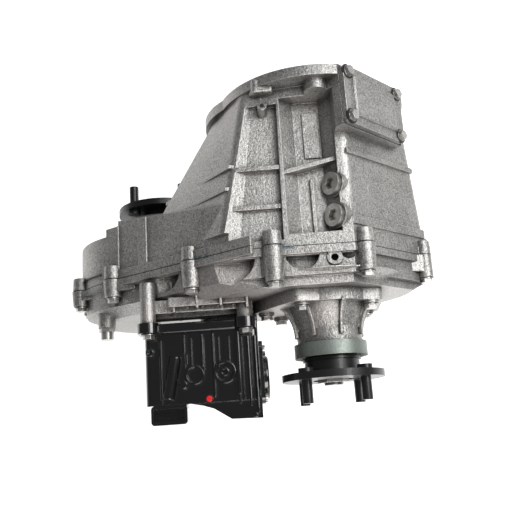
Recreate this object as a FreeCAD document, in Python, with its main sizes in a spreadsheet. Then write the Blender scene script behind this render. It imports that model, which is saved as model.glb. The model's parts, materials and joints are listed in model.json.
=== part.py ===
import FreeCAD, Part
import math
import os
import Sketcher
from FreeCAD import Placement, Rotation, Vector

# Transfer case with chain drive to an offset front output, millimetres.
# X points forward, Y left, Z up. The origin is on the main shaft's axis, in the
# mounting face, so the whole unit lies at negative X.

doc = FreeCAD.newDocument("TransferCase")
sheet = doc.addObject("Spreadsheet::Sheet", "Sizes")

driving_sizes = [
    # mounting flange
    ("rimRadius", 116, "mounting flange, main arc"),
    ("lobeRadius", 94, "mounting flange, left lobe"),
    ("lobeSide", 40, "how far the lobe's centre lies to the left"),
    ("lobeDrop", 22, "how far the lobe's centre lies below the axis"),
    ("rimThickness", 12, "mounting flange"),
    ("faceBoltCircle", 206, "circle of the four main mounting holes"),
    ("sideBoltCircle", 192, "circle of the three mounting holes between them"),
    ("faceHoleDepth", 22, "mounting holes"),
    ("faceHoleRadius", 5, "tapped hole for M10"),
    ("pilotRadius", 46, "pilot bore in the mounting face"),
    ("pilotDepth", 5, "pilot bore"),
    # castings
    ("wall", 7, "cast wall"),
    ("shelfDepth", 120, "mounting face to the front of the chain case"),
    ("shelfLean", 26, "how far the top of the chain case's front leans back"),
    ("bodyDepth", 180, "mounting face to the end of the tapered body"),
    ("splitDepth", 200, "mounting face to the split plane"),
    ("rearDepth", 16, "rear case, rim thickness behind the split"),
    ("bowlDepth", 26, "bearing bowls of the rear case behind its rim"),
    ("mainRadius", 130, "chain case round the main axis"),
    ("offsetRadius", 110, "chain case round the front output"),
    ("topHeight", 86, "flat top above the main axis"),
    ("pocketDepth", 16, "pocket in the top face"),
    ("panelDepth", 9, "second recess in the top face"),
    ("ribWidth", 5, "cast ribs"),
    ("bossRadius", 9, "bolt bosses on the split"),
    ("padHeight", 99, "slanted pad for the cover, from the main axis"),
    ("coverThickness", 6, "cover plate"),
    ("coverLength", 70, "cover plate along the main axis"),
    ("coverWidth", 108, "cover plate across"),
    ("gasketThickness", 0.8, "cover gasket"),
    # chain drive
    ("chainPitch", 12.7, "silent chain"),
    ("sprocketTeeth", 28, "both sprockets"),
    ("freeLinks", 19, "links between the sprockets on each strand"),
    ("axisDropAngle", 30, "fall of the front output's axis, degrees"),
    ("chainDepth", 186, "mounting face to the chain's middle"),
    ("chainWidth", 24, "chain"),
    ("plateWidth", 6, "outer link plate"),
    # planetary reduction
    ("gearModule", 1.5, "planetary gears"),
    ("sunTeeth", 42, "sun on the input shaft"),
    ("planetTeeth", 12, "planet gears"),
    ("planetCount", 4, "planet gears"),
    ("gearDepth", 56, "mounting face to the middle of the gears"),
    ("gearWidth", 18, "planet gears"),
    ("toothPlay", 0.14, "play on each flank"),
    ("ringBack", 7, "ring gear outside its teeth"),
    # shafts and bearings
    ("inputRadius", 22.5, "input shaft at its bearing"),
    ("inputBore", 15, "splined bore of the input shaft"),
    ("inputTeeth", 24, "splines of the input bore"),
    ("leadInRadius", 17, "lead-in of the input bore"),
    ("leadInDepth", 8, "lead-in of the input bore"),
    ("bearingOuter", 42.5, "all bearings, outer radius"),
    ("bearingWidth", 19, "all bearings"),
    ("rollerRadius", 4.6, "bearing rollers"),
    ("rollerCount", 11, "rollers in each bearing"),
    ("shaftRadius", 22.5, "output shafts at their bearings"),
    ("runningFit", 0.05, "radial clearance of a running fit"),
    ("inputBearingDepth", 16, "mounting face to the input bearing"),
    ("sleeveRadius", 44, "both shift sleeves"),
    ("sleeveLength", 24, "both shift sleeves"),
    ("rangeSleeveDepth", 104, "mounting face to the middle of the range sleeve"),
    ("lockSleeveDepth", 151, "mounting face to the middle of the lock sleeve"),
    ("hubRadius", 34, "splined hubs under the sleeves"),
    ("grooveWidth", 8, "fork groove"),
    ("grooveDepth", 5, "fork groove"),
    # shift rails and forks
    ("railRadius", 7, "both shift rails"),
    ("rangeRailSide", 104, "range rail, left of the main axis"),
    ("rangeRailDrop", 24, "range rail, below the main axis"),
    ("lockRailSide", 132, "lock rail, left of the main axis"),
    ("lockRailDrop", 40, "lock rail, below the main axis"),
    ("pinionModule", 1.5, "rail pinions"),
    ("pinionTeeth", 16, "rail pinions"),
    ("shiftTravel", 10, "travel of each rail"),
    ("forkThickness", 7, "shift forks"),
    # rear output
    ("extensionRadius", 60, "extension housing at its flange"),
    ("noseRadius", 38, "extension housing at its nose"),
    ("extensionLength", 57, "extension housing"),
    ("extensionFlange", 14, "flange of the extension housing"),
    ("dustRingRadius", 42.5, "steel ring on the nose"),
    ("dustRingWidth", 16, "steel ring on the nose"),
    ("noseSleeveRadius", 36, "turned end of the nose inside the steel ring"),
    ("rearSealRadius", 31, "oil seal in the nose"),
    ("sealLandRadius", 24, "output flanges inside their seals"),
    ("splineRadius", 16, "output shafts inside their flanges"),
    ("hubNeckRadius", 32, "neck of the output flanges"),
    ("hubLength", 34, "nose of the extension to the flange disc"),
    ("flangeRadius", 59.5, "output flange disc"),
    ("flangeThickness", 8, "output flange disc"),
    ("studCircle", 93.34, "stud circle, four studs on a 66 mm square"),
    ("studRadius", 6, "flange studs"),
    ("knurlRadius", 6.5, "knurled seats of the studs"),
    ("studLength", 26, "flange studs beyond the disc"),
    ("sealWidth", 9, "oil seals"),
    ("sealRadius", 35, "oil seals"),
    # front output
    ("frontHubDepth", 101, "mounting face to the front output's seal"),
    # fasteners
    ("boltRadius", 4, "M8 case bolts"),
    ("boltHead", 6, "height of the M8 heads"),
    ("boltFlats", 12, "M8 hexagon across flats"),
    # shift actuator
    ("actuatorDepth", 263, "mounting face to the actuator's plate"),
    ("actuatorPlate", 12, "actuator plate"),
    ("actuatorLength", 82, "actuator body behind its plate"),
    ("actuatorTail", 21, "right part of the body beyond the left part"),
    ("actuatorRight", 84, "right side of the actuator, left of the main axis"),
    ("actuatorWidth", 134, "actuator body"),
    ("actuatorTop", 5, "top of the actuator above the main axis"),
    ("actuatorHeight", 81, "actuator body"),
    ("actuatorWall", 4, "actuator housing wall"),
]

for row, (alias, number, note) in enumerate(driving_sizes, start=1):
    sheet.set(f"A{row}", alias)
    sheet.set(f"B{row}", str(number))
    sheet.set(f"C{row}", note)
    sheet.setAlias(f"B{row}", alias)
doc.recompute()


class Dimension:
    """A length that carries its number and the sheet expression behind it."""

    def __init__(self, number, text):
        self.number = number
        self.text = text

    def joined(self, other, sign, number, swapped=False):
        theirs = other.text if isinstance(other, Dimension) else repr(other)
        first, second = (theirs, self.text) if swapped else (self.text, theirs)
        return Dimension(number, f"({first} {sign} {second})")

    def __float__(self):
        return float(self.number)

    def __int__(self):
        return int(round(self.number))

    def __add__(self, other):
        return self.joined(other, "+", self.number + float(other))

    def __radd__(self, other):
        return self.joined(other, "+", float(other) + self.number, True)

    def __sub__(self, other):
        return self.joined(other, "-", self.number - float(other))

    def __rsub__(self, other):
        return self.joined(other, "-", float(other) - self.number, True)

    def __mul__(self, other):
        return self.joined(other, "*", self.number * float(other))

    def __rmul__(self, other):
        return self.joined(other, "*", float(other) * self.number, True)

    def __truediv__(self, other):
        return self.joined(other, "/", self.number / float(other))

    def __neg__(self):
        return Dimension(-self.number, f"(0 - {self.text})")


class Sizes:
    """Every cell of the sheet as a Dimension of the same name."""

    def __getattr__(self, alias):
        return Dimension(float(sheet.get(alias)), f"Sizes.{alias}")


size = Sizes()


# ---------------------------------------------------------------- tools

def origin_feature(body, role):
    """The body's own origin plane or axis with this role."""
    return next(f for f in body.Origin.OriginFeatures if f.Role == role)


def bound(sketch, kind, *arguments, length):
    """Adds a dimension to a sketch and ties it to the sheet."""
    index = sketch.addConstraint(Sketcher.Constraint(kind, *arguments, float(length)))
    if isinstance(length, Dimension):
        sketch.setExpression(f"Constraints[{index}]", length.text)


def turned(label, profile, side=0, drop=0):
    """A piece turned about a line parallel to X; the profile lists (x, radius)."""
    body = doc.addObject("PartDesign::Body", label)
    sketch = body.newObject("Sketcher::SketchObject", f"{label}_profile")
    sketch.AttachmentSupport = [(origin_feature(body, "XY_Plane"), "")]
    sketch.MapMode = "FlatFace"
    corners = [Vector(float(x), float(radius), 0) for x, radius in profile]
    count = len(corners)
    for index in range(count):
        line = Part.LineSegment(corners[index], corners[(index + 1) % count])
        sketch.addGeometry(line, False)
    for index in range(count):
        after = (index + 1) % count
        sketch.addConstraint(Sketcher.Constraint("Coincident", index, 2, after, 1))
    for index, (x, radius) in enumerate(profile):
        bound(sketch, "DistanceX", -1, 1, index, 1, length=x)
        if float(radius) == 0:
            sketch.addConstraint(Sketcher.Constraint("PointOnObject", index, 1, -1))
        else:
            bound(sketch, "DistanceY", -1, 1, index, 1, length=radius)
    turn = body.newObject("PartDesign::Revolution", f"{label}_turn")
    turn.Profile = sketch
    turn.ReferenceAxis = (sketch, ["H_Axis"])
    turn.Angle = 360
    place(body, side, drop)
    return body


def place(piece, side, drop):
    """Moves a piece to an axis that lies left of and below the main one."""
    for axis, value in (("y", side), ("z", -1 * drop)):
        if isinstance(value, Dimension):
            piece.setExpression(f"Placement.Base.{axis}", value.text)
        else:
            setattr(piece.Placement.Base, axis, float(value))


def drilled(body, radius, circle, count, turn_by=0):
    """Holes through a turned piece, spaced evenly on a circle."""
    name = body.Label
    sketch = body.newObject("Sketcher::SketchObject", f"{name}_hole")
    sketch.AttachmentSupport = [(origin_feature(body, "YZ_Plane"), "")]
    sketch.MapMode = "FlatFace"
    ray = Part.LineSegment(Vector(0, 0, 0), Vector(float(circle) / 2, 1, 0))
    sketch.addGeometry(ray, True)
    sketch.addGeometry(Part.Circle(ray.EndPoint, Vector(0, 0, 1), float(radius)), False)
    sketch.addConstraint(Sketcher.Constraint("Coincident", 0, 1, -1, 1))
    sketch.addConstraint(Sketcher.Constraint("Coincident", 0, 2, 1, 3))
    bound(sketch, "Distance", 0, length=circle / 2)
    bound(sketch, "Radius", 1, length=radius)
    angle = math.radians(turn_by)
    if turn_by:
        bound(sketch, "Angle", -1, 1, 0, 1, length=angle)
    else:
        sketch.addConstraint(Sketcher.Constraint("Horizontal", 0))
    hole = body.newObject("PartDesign::Pocket", f"{name}_drill")
    hole.Profile = sketch
    hole.Type = "ThroughAll"
    hole.Midplane = True
    pattern = body.newObject("PartDesign::PolarPattern", f"{name}_holes")
    pattern.Originals = [hole]
    pattern.Axis = (origin_feature(body, "X_Axis"), [""])
    pattern.Angle = 360
    pattern.Occurrences = count
    body.Tip = pattern


def feature(label, shape):
    """A piece whose shape the Part functions made."""
    piece = doc.addObject("Part::Feature", label)
    piece.Shape = shape
    return piece


def rod(front, back, radius, side=0, drop=0):
    """A cylinder along X from its front end to its back end."""
    start = Vector(float(back), float(side), -float(drop))
    return Part.makeCylinder(float(radius), float(front) - float(back), start, Vector(1, 0, 0))


def taper(front, back, front_radius, back_radius, side=0, drop=0):
    """A cone along X between two radii."""
    start = Vector(float(back), float(side), -float(drop))
    height = float(front) - float(back)
    return Part.makeCone(float(back_radius), float(front_radius), height, start, Vector(1, 0, 0))


def rounded(points, radius, x):
    """A closed wire in a plane across X with every corner rounded."""
    corners = [Vector(x, y, z) for y, z in points]
    count = len(corners)
    edges = []
    arcs = []
    for index, corner in enumerate(corners):
        before = (corners[index - 1] - corner).normalize()
        after = (corners[(index + 1) % count] - corner).normalize()
        half = before.getAngle(after) / 2
        reach = radius / math.tan(half)
        middle = corner + (before + after).normalize() * (radius / math.sin(half) - radius)
        start = corner + before * reach
        end = corner + after * reach
        arcs.append((start, middle, end))
    for index, (start, middle, end) in enumerate(arcs):
        edges.append(Part.Arc(start, middle, end).toShape())
        edges.append(Part.makeLine(end, arcs[(index + 1) % count][0]))
    return Part.Wire(edges)


def inset(points, distance):
    """The polygon moved inwards by a distance, its corners listed anticlockwise."""
    count = len(points)
    lines = []
    for index, (y, z) in enumerate(points):
        next_y, next_z = points[(index + 1) % count]
        length = math.hypot(next_y - y, next_z - z)
        along = ((next_y - y) / length, (next_z - z) / length)
        inwards = (-along[1], along[0])
        lines.append(((y + inwards[0] * distance, z + inwards[1] * distance), along))
    moved = []
    for index in range(count):
        (ay, az), (ua, va) = lines[index - 1]
        (by, bz), (ub, vb) = lines[index]
        step = ((by - ay) * vb - (bz - az) * ub) / (ua * vb - va * ub)
        moved.append((ay + ua * step, az + va * step))
    return moved


def prism(points, front, back, radius=0):
    """A polygon across X, given as (y, z), drawn out along X."""
    front = float(front)
    back = float(back)
    if radius:
        wire = rounded(points, radius, back)
    else:
        closed = [Vector(back, y, z) for y, z in points + points[:1]]
        wire = Part.makePolygon(closed)
    return Part.Face(wire).extrude(Vector(front - back, 0, 0))


def hull(front, back, main_radius, offset_radius):
    """The racetrack round both axes, drawn out along X."""
    side = float(front_side)
    drop = float(front_drop)
    apart = math.hypot(side, drop)
    lean = math.atan2(-drop, side)
    spread = math.acos((main_radius - offset_radius) / apart)
    rim = []
    for centre, radius, turn in (
        (Vector(float(back), 0, 0), main_radius, 0),
        (Vector(float(back), side, -drop), offset_radius, math.pi),
    ):
        for angle in (lean + spread, lean + math.pi - turn, lean - spread):
            step = Vector(0, radius * math.cos(angle), radius * math.sin(angle))
            rim.append(centre + step)
    top_a, far_a, low_a, top_b, far_b, low_b = rim
    edges = [
        Part.Arc(top_a, far_a, low_a).toShape(),
        Part.makeLine(low_a, low_b),
        Part.Arc(low_b, far_b, top_b).toShape(),
        Part.makeLine(top_b, top_a),
    ]
    return Part.Face(Part.Wire(edges)).extrude(Vector(float(front) - float(back), 0, 0))


def hull_loft(front, back, front_inset, back_inset):
    """The racetrack drawn out along X while it narrows."""
    wires = []
    for x, distance in ((float(front), front_inset), (float(back), back_inset)):
        main = float(size.mainRadius) - distance
        offset = float(size.offsetRadius) - distance
        thin = hull(x + 1, x, main, offset)
        face = min(thin.Faces, key=lambda each: each.CenterOfMass.x)
        wires.append(face.OuterWire)
    return Part.makeLoft(wires, True, True)


def hexagon(front, back, flats, side, drop):
    """A hexagonal prism along X."""
    corner = float(flats) / math.sqrt(3)
    points = []
    for index in range(6):
        angle = math.radians(60 * index)
        points.append((side + corner * math.cos(angle), -drop + corner * math.sin(angle)))
    return prism(points, front, back)


def ends(seat, reach):
    """The front and back of a stretch that starts at a seat."""
    return max(seat, seat + reach), min(seat, seat + reach)


def bolt(seat, length, side, drop, towards=-1):
    """A flange bolt along X: its head on the seat, its shank the other way."""
    seat = float(seat)
    head = float(size.boltHead)
    flats = float(size.boltFlats)
    parts = [
        rod(*ends(seat, towards * 1.6), flats * 0.66, side, drop),
        hexagon(*ends(seat, towards * head), flats, side, drop),
        rod(*ends(seat, -towards * length), size.boltRadius, side, drop),
    ]
    return parts[0].fuse(parts[1:]).removeSplitter()


def involute_tooth(teeth, module, top, bottom, thinned, pressure=25.0, steps=4):
    """One tooth's outline from root to tip and back, as (angle, radius)."""
    pitch = teeth * module / 2
    base = pitch * math.cos(math.radians(pressure))
    roll = math.tan(math.radians(pressure)) - math.radians(pressure)
    half = math.pi / (2 * teeth) + roll - thinned / pitch
    start = max(base, bottom)
    flank = []
    for step in range(steps + 1):
        radius = start + (top - start) * step / steps
        turn = math.acos(base / radius)
        flank.append((half - (math.tan(turn) - turn), radius))
    if bottom < start:
        flank.insert(0, (flank[0][0], bottom))
    return [(-angle, radius) for angle, radius in flank] + list(reversed(flank))


def toothed(teeth, module, top, bottom, thinned, x, width, turn=0.0):
    """A spur gear blank with involute teeth about the X axis."""
    tooth = involute_tooth(teeth, module, top, bottom, thinned)
    points = []
    for index in range(teeth):
        middle = turn + 2 * math.pi * index / teeth
        for angle, radius in tooth:
            points.append(
                (radius * math.cos(middle + angle), radius * math.sin(middle + angle))
            )
    return prism(points, x + width / 2, x - width / 2)


def about_x(shape, degrees, side=0, drop=0):
    """A copy of the shape turned about a line parallel to X."""
    copy = shape.copy()
    copy.rotate(Vector(0, side, -drop), Vector(1, 0, 0), degrees)
    return copy


def shifted(shape, x=0, y=0, z=0):
    """A copy of the shape moved."""
    copy = shape.copy()
    copy.translate(Vector(x, y, z))
    return copy


def joined(shapes):
    """All the shapes fused into one solid."""
    return shapes[0].fuse(shapes[1:]).removeSplitter()


# ---------------------------------------------------------------- shared places

teeth_around = int(size.sprocketTeeth)
sprocket_radius = float(size.chainPitch) / (2 * math.sin(math.pi / teeth_around))
centre_distance = size.freeLinks * size.chainPitch
fall = math.radians(float(size.axisDropAngle))
front_side = centre_distance * math.cos(fall)
front_drop = centre_distance * math.sin(fall)

split = -size.splitDepth
shelf = -size.shelfDepth
rear_rim = split - size.rearDepth
rear_face = rear_rim - size.bowlDepth
nose = rear_face - size.extensionLength

# Four equal bearings: on the input, at the rear output and two on the front output.
bearing_fronts = {
    "input": -size.inputBearingDepth,
    "rear": rear_face + size.bearingWidth,
    "front_fore": -size.frontHubDepth - size.sealWidth - 1,
    "front_aft": rear_rim + 3,
}
wall_thickness = float(size.wall)


# ---------------------------------------------------------------- castings

def body_section(front):
    """Corners of the front case across X, near the flange or at its back end."""
    top = float(size.topHeight)
    if front:
        return [
            (-108, 20), (-112, -42), (-62, -100), (44, -106), (100, -66),
            (122, -30), (120, 14), (84, top - 6), (-29, top + 12),
        ]
    return [
        (-125.8, -3.8), (-123.9, -68.8), (-67.9, -117.8), (67.8, -156.5), (141.6, -110.6),
        (238, -62.7), (259.8, -63.3), (115.2, top), (-29, top - 2),
    ]


def anticlockwise(points):
    """The same polygon listed anticlockwise."""
    area = 0
    for (y, z), (next_y, next_z) in zip(points, points[1:] + points[:1]):
        area += y * next_z - next_y * z
    return points if area > 0 else points[::-1]


def body_loft(distance, front, back):
    """The tapered front of the case, its sections moved inwards by a distance."""
    wires = []
    for is_front, x in ((True, float(front)), (False, float(back))):
        points = inset(anticlockwise(body_section(is_front)), distance)
        wires.append(rounded(points, 14 - distance, x))
    return Part.makeLoft(wires, True, True)


def chain_case(front, back, distance):
    """The chain case round both axes, cut flat on top and slanted on the right."""
    main = float(size.mainRadius) - distance
    offset = float(size.offsetRadius) - distance
    return hull(front, back, main, offset).common(case_limits(front, back, distance))


def case_limits(front, back, distance):
    """The room under the flat top and the slanted right side, drawn out along X."""
    top = float(size.topHeight) - distance
    edge = -29 + distance * 0.4
    side = -float(size.mainRadius) - 20
    low_top = top - (edge - side) * 0.93
    limits = [(edge, top), (side, low_top), (side, -400), (500, -400), (500, top)]
    return prism(limits, front, back)


def leaning_front(shape, distance):
    """The chain case's front part: its face leans back and its right side is open."""
    front = float(shelf) - distance
    low = -40.0
    top = float(size.topHeight)
    lean = float(size.shelfLean)
    slope = lean / (top - low)
    high = 400.0
    points = [
        Vector(front, -400, low), Vector(front + 50, -400, low), Vector(front + 50, -400, high),
        Vector(front - (high - low) * slope, -400, high),
    ]
    wedge = Part.Face(Part.makePolygon(points + points[:1])).extrude(Vector(0, 900, 0))
    right = Part.makeBox(60, 400, 800)
    right.translate(Vector(-float(size.bodyDepth) + 2 - distance, -430 + distance, -400))
    return shape.cut([wedge, right, left_steps(distance)])


def left_steps(distance):
    """The steps in the chain case's front at its left end."""
    steps = []
    for start, x in left_step_places:
        step = Part.makeBox(100, 400, 800)
        step.translate(Vector(x - distance, start - distance, -400))
        steps.append(step)
    return joined(steps)


left_step_places = [(250.0, -131.5), (268.0, -141.0)]


def round_axis(side, drop, radius, degrees):
    """A point round one of the two axes."""
    angle = math.radians(degrees)
    reach = float(radius) + 3
    return float(side) + reach * math.cos(angle), -float(drop) + reach * math.sin(angle)


def under_case(share):
    """A point on the straight lower edge of the chain case."""
    apart = float(centre_distance)
    narrowing = float(size.mainRadius) - float(size.offsetRadius)
    normal = -fall - math.pi / 2 - math.asin(narrowing / apart)
    main_end = round_axis(0, 0, size.mainRadius, math.degrees(normal))
    far_end = round_axis(front_side, front_drop, size.offsetRadius, math.degrees(normal))
    return tuple(a + (b - a) * share for a, b in zip(main_end, far_end))


case_bolt_places = [
    (61, 88, 39, 12), (155, 46, 31, 12),
    (*round_axis(front_side, front_drop, size.offsetRadius, 64), 22, 14),
    (*round_axis(front_side, front_drop, size.offsetRadius, 24), 20, 12),
    (*round_axis(front_side, front_drop, size.offsetRadius, -14), 17, 10),
    (*round_axis(front_side, front_drop, size.offsetRadius, -52), 17, 10),
    (*round_axis(front_side, front_drop, size.offsetRadius, -92), 17, 10),
    (*under_case(0.8), 17, 10), (*under_case(0.45), 17, 10), (*under_case(0.1), 17, 10),
    (*round_axis(0, 0, size.mainRadius, -150), 17, 10),
    (-122, -1, 28, 10), (-41, 76, 31, 12),
]


def split_bosses(side_of_split):
    """The bolt bosses on one side of the split."""
    bosses = []
    for left, up, behind, before in case_bolt_places:
        radius = float(size.bossRadius)
        if side_of_split == "front":
            bosses.append(rod(split + before, split, radius, left, -up))
        else:
            bosses.append(rod(split, split - behind, radius, left, -up))
    return bosses


def mounting_flange():
    """The rim of the mounting face: a main arc, a lobe and a cover pad's flat."""
    back = -float(size.rimThickness)
    main = rod(0, back, size.rimRadius)
    lobe = rod(0, back, size.lobeRadius, size.lobeSide, size.lobeDrop)
    return main.fuse(lobe)


def slanted_block(height, length, width, front, centre=0.0):
    """A block under a 45 degree plane at the upper right, its top at a height."""
    block = Part.makeBox(length, width, 60)
    block.translate(Vector(front - length, -width / 2 + centre, height - 60))
    block.rotate(Vector(0, 0, 0), Vector(1, 0, 0), 45)
    return block


slant_centre = 8.0
cover_front = -2.0


def cover_corners(margin):
    """The four cover bolts as (x, across) from the pad's middle."""
    length = float(size.coverLength) / 2 - margin
    width = float(size.coverWidth) / 2 - margin
    middle = cover_front - float(size.coverLength) / 2
    places = []
    for along in (-1, 1):
        for across in (-1, 1):
            places.append((middle + along * length, slant_centre + across * width))
    return places


def on_slant(x, across, height):
    """A point over the slanted pad."""
    turn = math.radians(45)
    y = across * math.cos(turn) - height * math.sin(turn)
    z = across * math.sin(turn) + height * math.cos(turn)
    return Vector(x, y, z)


slant_normal = Vector(0, -math.sqrt(0.5), math.sqrt(0.5))
slant_across = Vector(0, math.sqrt(0.5), math.sqrt(0.5))
rail_places = [
    (float(size.rangeRailSide), float(size.rangeRailDrop)),
    (float(size.lockRailSide), float(size.lockRailDrop)),
]
rail_front = -30.0
chain_room = 62.4
strainer_length = 26.0
strainer_half = 26.0
strainer_back = -172.0
strainer_floor = -112.0
plug_places = (-130.0, -167.0)
plug_radius = 13.0
plug_lean = math.radians(50)
plug_axis = Vector(0, math.sin(plug_lean), math.cos(plug_lean))
drain_place = (112.0, -126.0)
drain_radius = 7.0


def plug_seat(x):
    """Where a plug's body meets its boss on the pocket wall."""
    return Vector(x, -15, float(size.topHeight) - 8)


def breather_tube(beyond):
    """The breather's round stem in the outer edge of the cover's pad."""
    edge = slant_centre - float(size.coverWidth) / 2
    start = on_slant(-46, edge + 6, float(size.padHeight) - 4.8)
    return Part.makeCylinder(3.4, 7 + beyond, start, -slant_across)



def make_front_case():
    flange_back = -float(size.rimThickness)
    body_back = -float(size.bodyDepth)
    outer = [
        body_loft(0, flange_back, body_back),
        leaning_front(chain_case(shelf, split, 0), 0),
        chain_case(body_back + 2, split, 0),
        mounting_flange(),
        taper(-float(size.frontHubDepth), shelf - 14, 52, 62, front_side, front_drop),
    ]
    pad = float(size.padHeight)
    pad_length = float(size.coverLength) + 2
    pad_width = float(size.coverWidth)
    outer.append(slanted_block(pad, pad_length, pad_width, cover_front + 1, slant_centre))
    outer += split_bosses("front")
    outer.append(rod(shelf + 2, shelf - 1, drain_radius + 6, drain_place[0], -drain_place[1]))
    outer += top_additions()
    case = joined(outer)
    # the flat under the cover ends the flange
    over = slanted_block(pad + 60, 80, 160, 1, slant_centre)
    case = case.cut(over)

    # hollow inside: the tapered front, the chain room, hubs left for bearings and ring gear
    seat = float(size.gearDepth)
    half = float(size.gearWidth) / 2
    inner_front = -float(size.inputBearingDepth) - float(size.bearingWidth) - 5
    hollow = body_loft(wall_thickness, flange_back, body_back)
    whole = [(-400, -400), (400, -400), (400, 400), (-400, 400)]
    hollow = hollow.common(prism(whole, inner_front, body_back))
    mouth = inset(anticlockwise(body_section(False)), wall_thickness)
    hollow = hollow.fuse(prism(mouth, body_back + 1, body_back - 14))
    room = chain_case(shelf - wall_thickness, split, wall_thickness)
    hollow = hollow.fuse(leaning_front(room, wall_thickness))
    hollow = hollow.fuse(chain_case(body_back - wall_thickness + 2, split, wall_thickness))
    collar = rod(-seat + half + 4, -seat - half - 4, ring_outer + 6).cut(
        rod(-seat + half + 5, -seat - half - 5, ring_outer)
    )
    spokes = []
    for angle in (20, 110, 200, 290):
        spoke = prism([(ring_outer + 2, -3), (190, -3), (190, 3), (ring_outer + 2, 3)],
                      -seat + half + 4, -seat - half - 4)
        spokes.append(about_x(spoke, angle))
    hub_back = float(bearing_fronts["front_fore"]) - float(size.bearingWidth) - 1
    front_hub = rod(shelf + 10, hub_back, float(size.bearingOuter) + 8, front_side, front_drop)
    strainer_seat = Part.makeBox(strainer_length, 2 * strainer_half, 100)
    strainer_seat.translate(Vector(strainer_back, -strainer_half, strainer_floor - 100))
    left = [
        front_hub, pocket_shape(wall_thickness - 1), side_recess(wall_thickness - 1), strainer_seat,
    ]
    hollow = hollow.cut([joined([collar] + spokes)] + left)
    case = case.cut(hollow)
    case = case.cut(rod(body_back + 2, body_back - wall_thickness, chain_room))

    # bores of the input side
    bearing = float(size.bearingOuter)
    seal = float(size.sealRadius)
    bores = [
        rod(1, -float(size.pilotDepth), size.pilotRadius),
        rod(1, -float(size.inputBearingDepth), seal),
        oblique_hole(),
        rod(-float(size.inputBearingDepth), inner_front - 1, bearing),
        rod(-float(size.frontHubDepth) + 1, bearing_fronts["front_fore"], seal, front_side, front_drop),
        rod(bearing_fronts["front_fore"], hub_back - 1, bearing, front_side, front_drop),
    ]
    for y, z in face_hole_places():
        bores.append(rod(1, -float(size.faceHoleDepth), size.faceHoleRadius, y, -z))
    for left, up, behind, before in case_bolt_places:
        bores.append(rod(split + before - 3, split - 1, size.boltRadius, left, -up))
    for x, across in cover_corners(8):
        start = on_slant(x, across, pad - 14)
        bores.append(Part.makeCylinder(3, 15, start, slant_normal))
    bores.append(breather_tube(0))
    left, up = drain_place
    bores.append(rod(shelf + 3, float(shelf) - wall_thickness - 1, drain_radius, left, -up))
    left, drop = rail_places[0]
    rail_bore = float(size.railRadius) + float(size.runningFit)
    bores.append(rod(rail_front + 0.5, inner_front - 1, rail_bore, left, drop))
    window_length = float(size.coverLength) - 28
    window_width = float(size.coverWidth) - 34
    window = Part.makeBox(window_length, window_width, 40)
    window.translate(Vector(cover_front - 14 - window_length, slant_centre - window_width / 2, pad - 30))
    window.rotate(Vector(0, 0, 0), Vector(1, 0, 0), 45)
    bores.append(window)
    case = case.cut(bores).cut(top_recesses())
    for x in plug_places:
        boss = Part.makeCylinder(plug_radius + 2.5, 9, plug_seat(x) - plug_axis * 5, plug_axis)
        room = Part.makeCylinder(plug_radius, 20, plug_seat(x), plug_axis)
        case = case.fuse(boss).cut(room)
    return case


def face_hole_places():
    """Mounting holes round the face: four on one circle and three between them."""
    places = []
    for circle, angles in (
        (float(size.faceBoltCircle), (90, 0, -90, 180)),
        (float(size.sideBoltCircle), (45, -45, -135)),
    ):
        for angle in angles:
            turn = math.radians(angle)
            places.append((circle / 2 * math.cos(turn), circle / 2 * math.sin(turn)))
    return places


pocket_front = -float(size.rimThickness) - 12
pocket_back = split + 14.0


def pocket_shape(jacket):
    """The deep pocket of the top face, grown by a jacket all round."""
    top = float(size.topHeight)
    floor = top - float(size.pocketDepth) - jacket
    section = [
        (42 + jacket, top + 30), (42 + jacket, top - 3), (26 + jacket / 2, floor),
        (-4 - jacket / 2, floor), (-17 - jacket, top - 4), (-19 - jacket, top + 30),
    ]
    return prism(section, pocket_front + jacket, pocket_back - jacket)


def side_recess(jacket):
    """The wide recess left of the pocket, grown by a jacket all round."""
    top = float(size.topHeight)
    floor = top - float(size.panelDepth) - jacket
    wires = []
    for x, right, foot, shoulder in ((-30.0 + jacket, 45, 74, 87), (-192.0 - jacket, 48, 97, 115)):
        points = [
            (right - jacket, top + 30), (right - jacket, floor), (foot + jacket, floor),
            (shoulder + jacket, top), (shoulder + jacket, top + 30),
        ]
        closed = [Vector(x, y, z) for y, z in points + points[:1]]
        wires.append(Part.makePolygon(closed))
    return Part.makeLoft(wires, True, True)


def top_recesses():
    """The pocket and the wide recess sunk into the top face, ribs left standing."""
    top = float(size.topHeight)
    rib = float(size.ribWidth)
    floor = top - float(size.pocketDepth)
    recess = pocket_shape(0)
    points = [
        Vector(-111, 45, 0), Vector(-96, -25, 0), Vector(-96 - rib, -25, 0), Vector(-111 - rib, 45, 0),
    ]
    cross = Part.Face(Part.makePolygon(points + points[:1])).extrude(Vector(0, 0, top - 2))
    ledge = Part.makeBox(66, 4, 3)
    ledge.translate(Vector(pocket_back, 9, floor))
    step = Part.makeBox(56, 18, 2)
    step.translate(Vector(-94, -2, floor))
    recess = recess.cut([cross, ledge, step])
    side = side_recess(0)
    for x, height in ((-104.0, top - 1), (-149.5, top - 3)):
        slab = Part.makeBox(rib, 90, height)
        slab.translate(Vector(x - rib, 40, 0))
        side = side.cut(slab)
    return recess.fuse(side)


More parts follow.
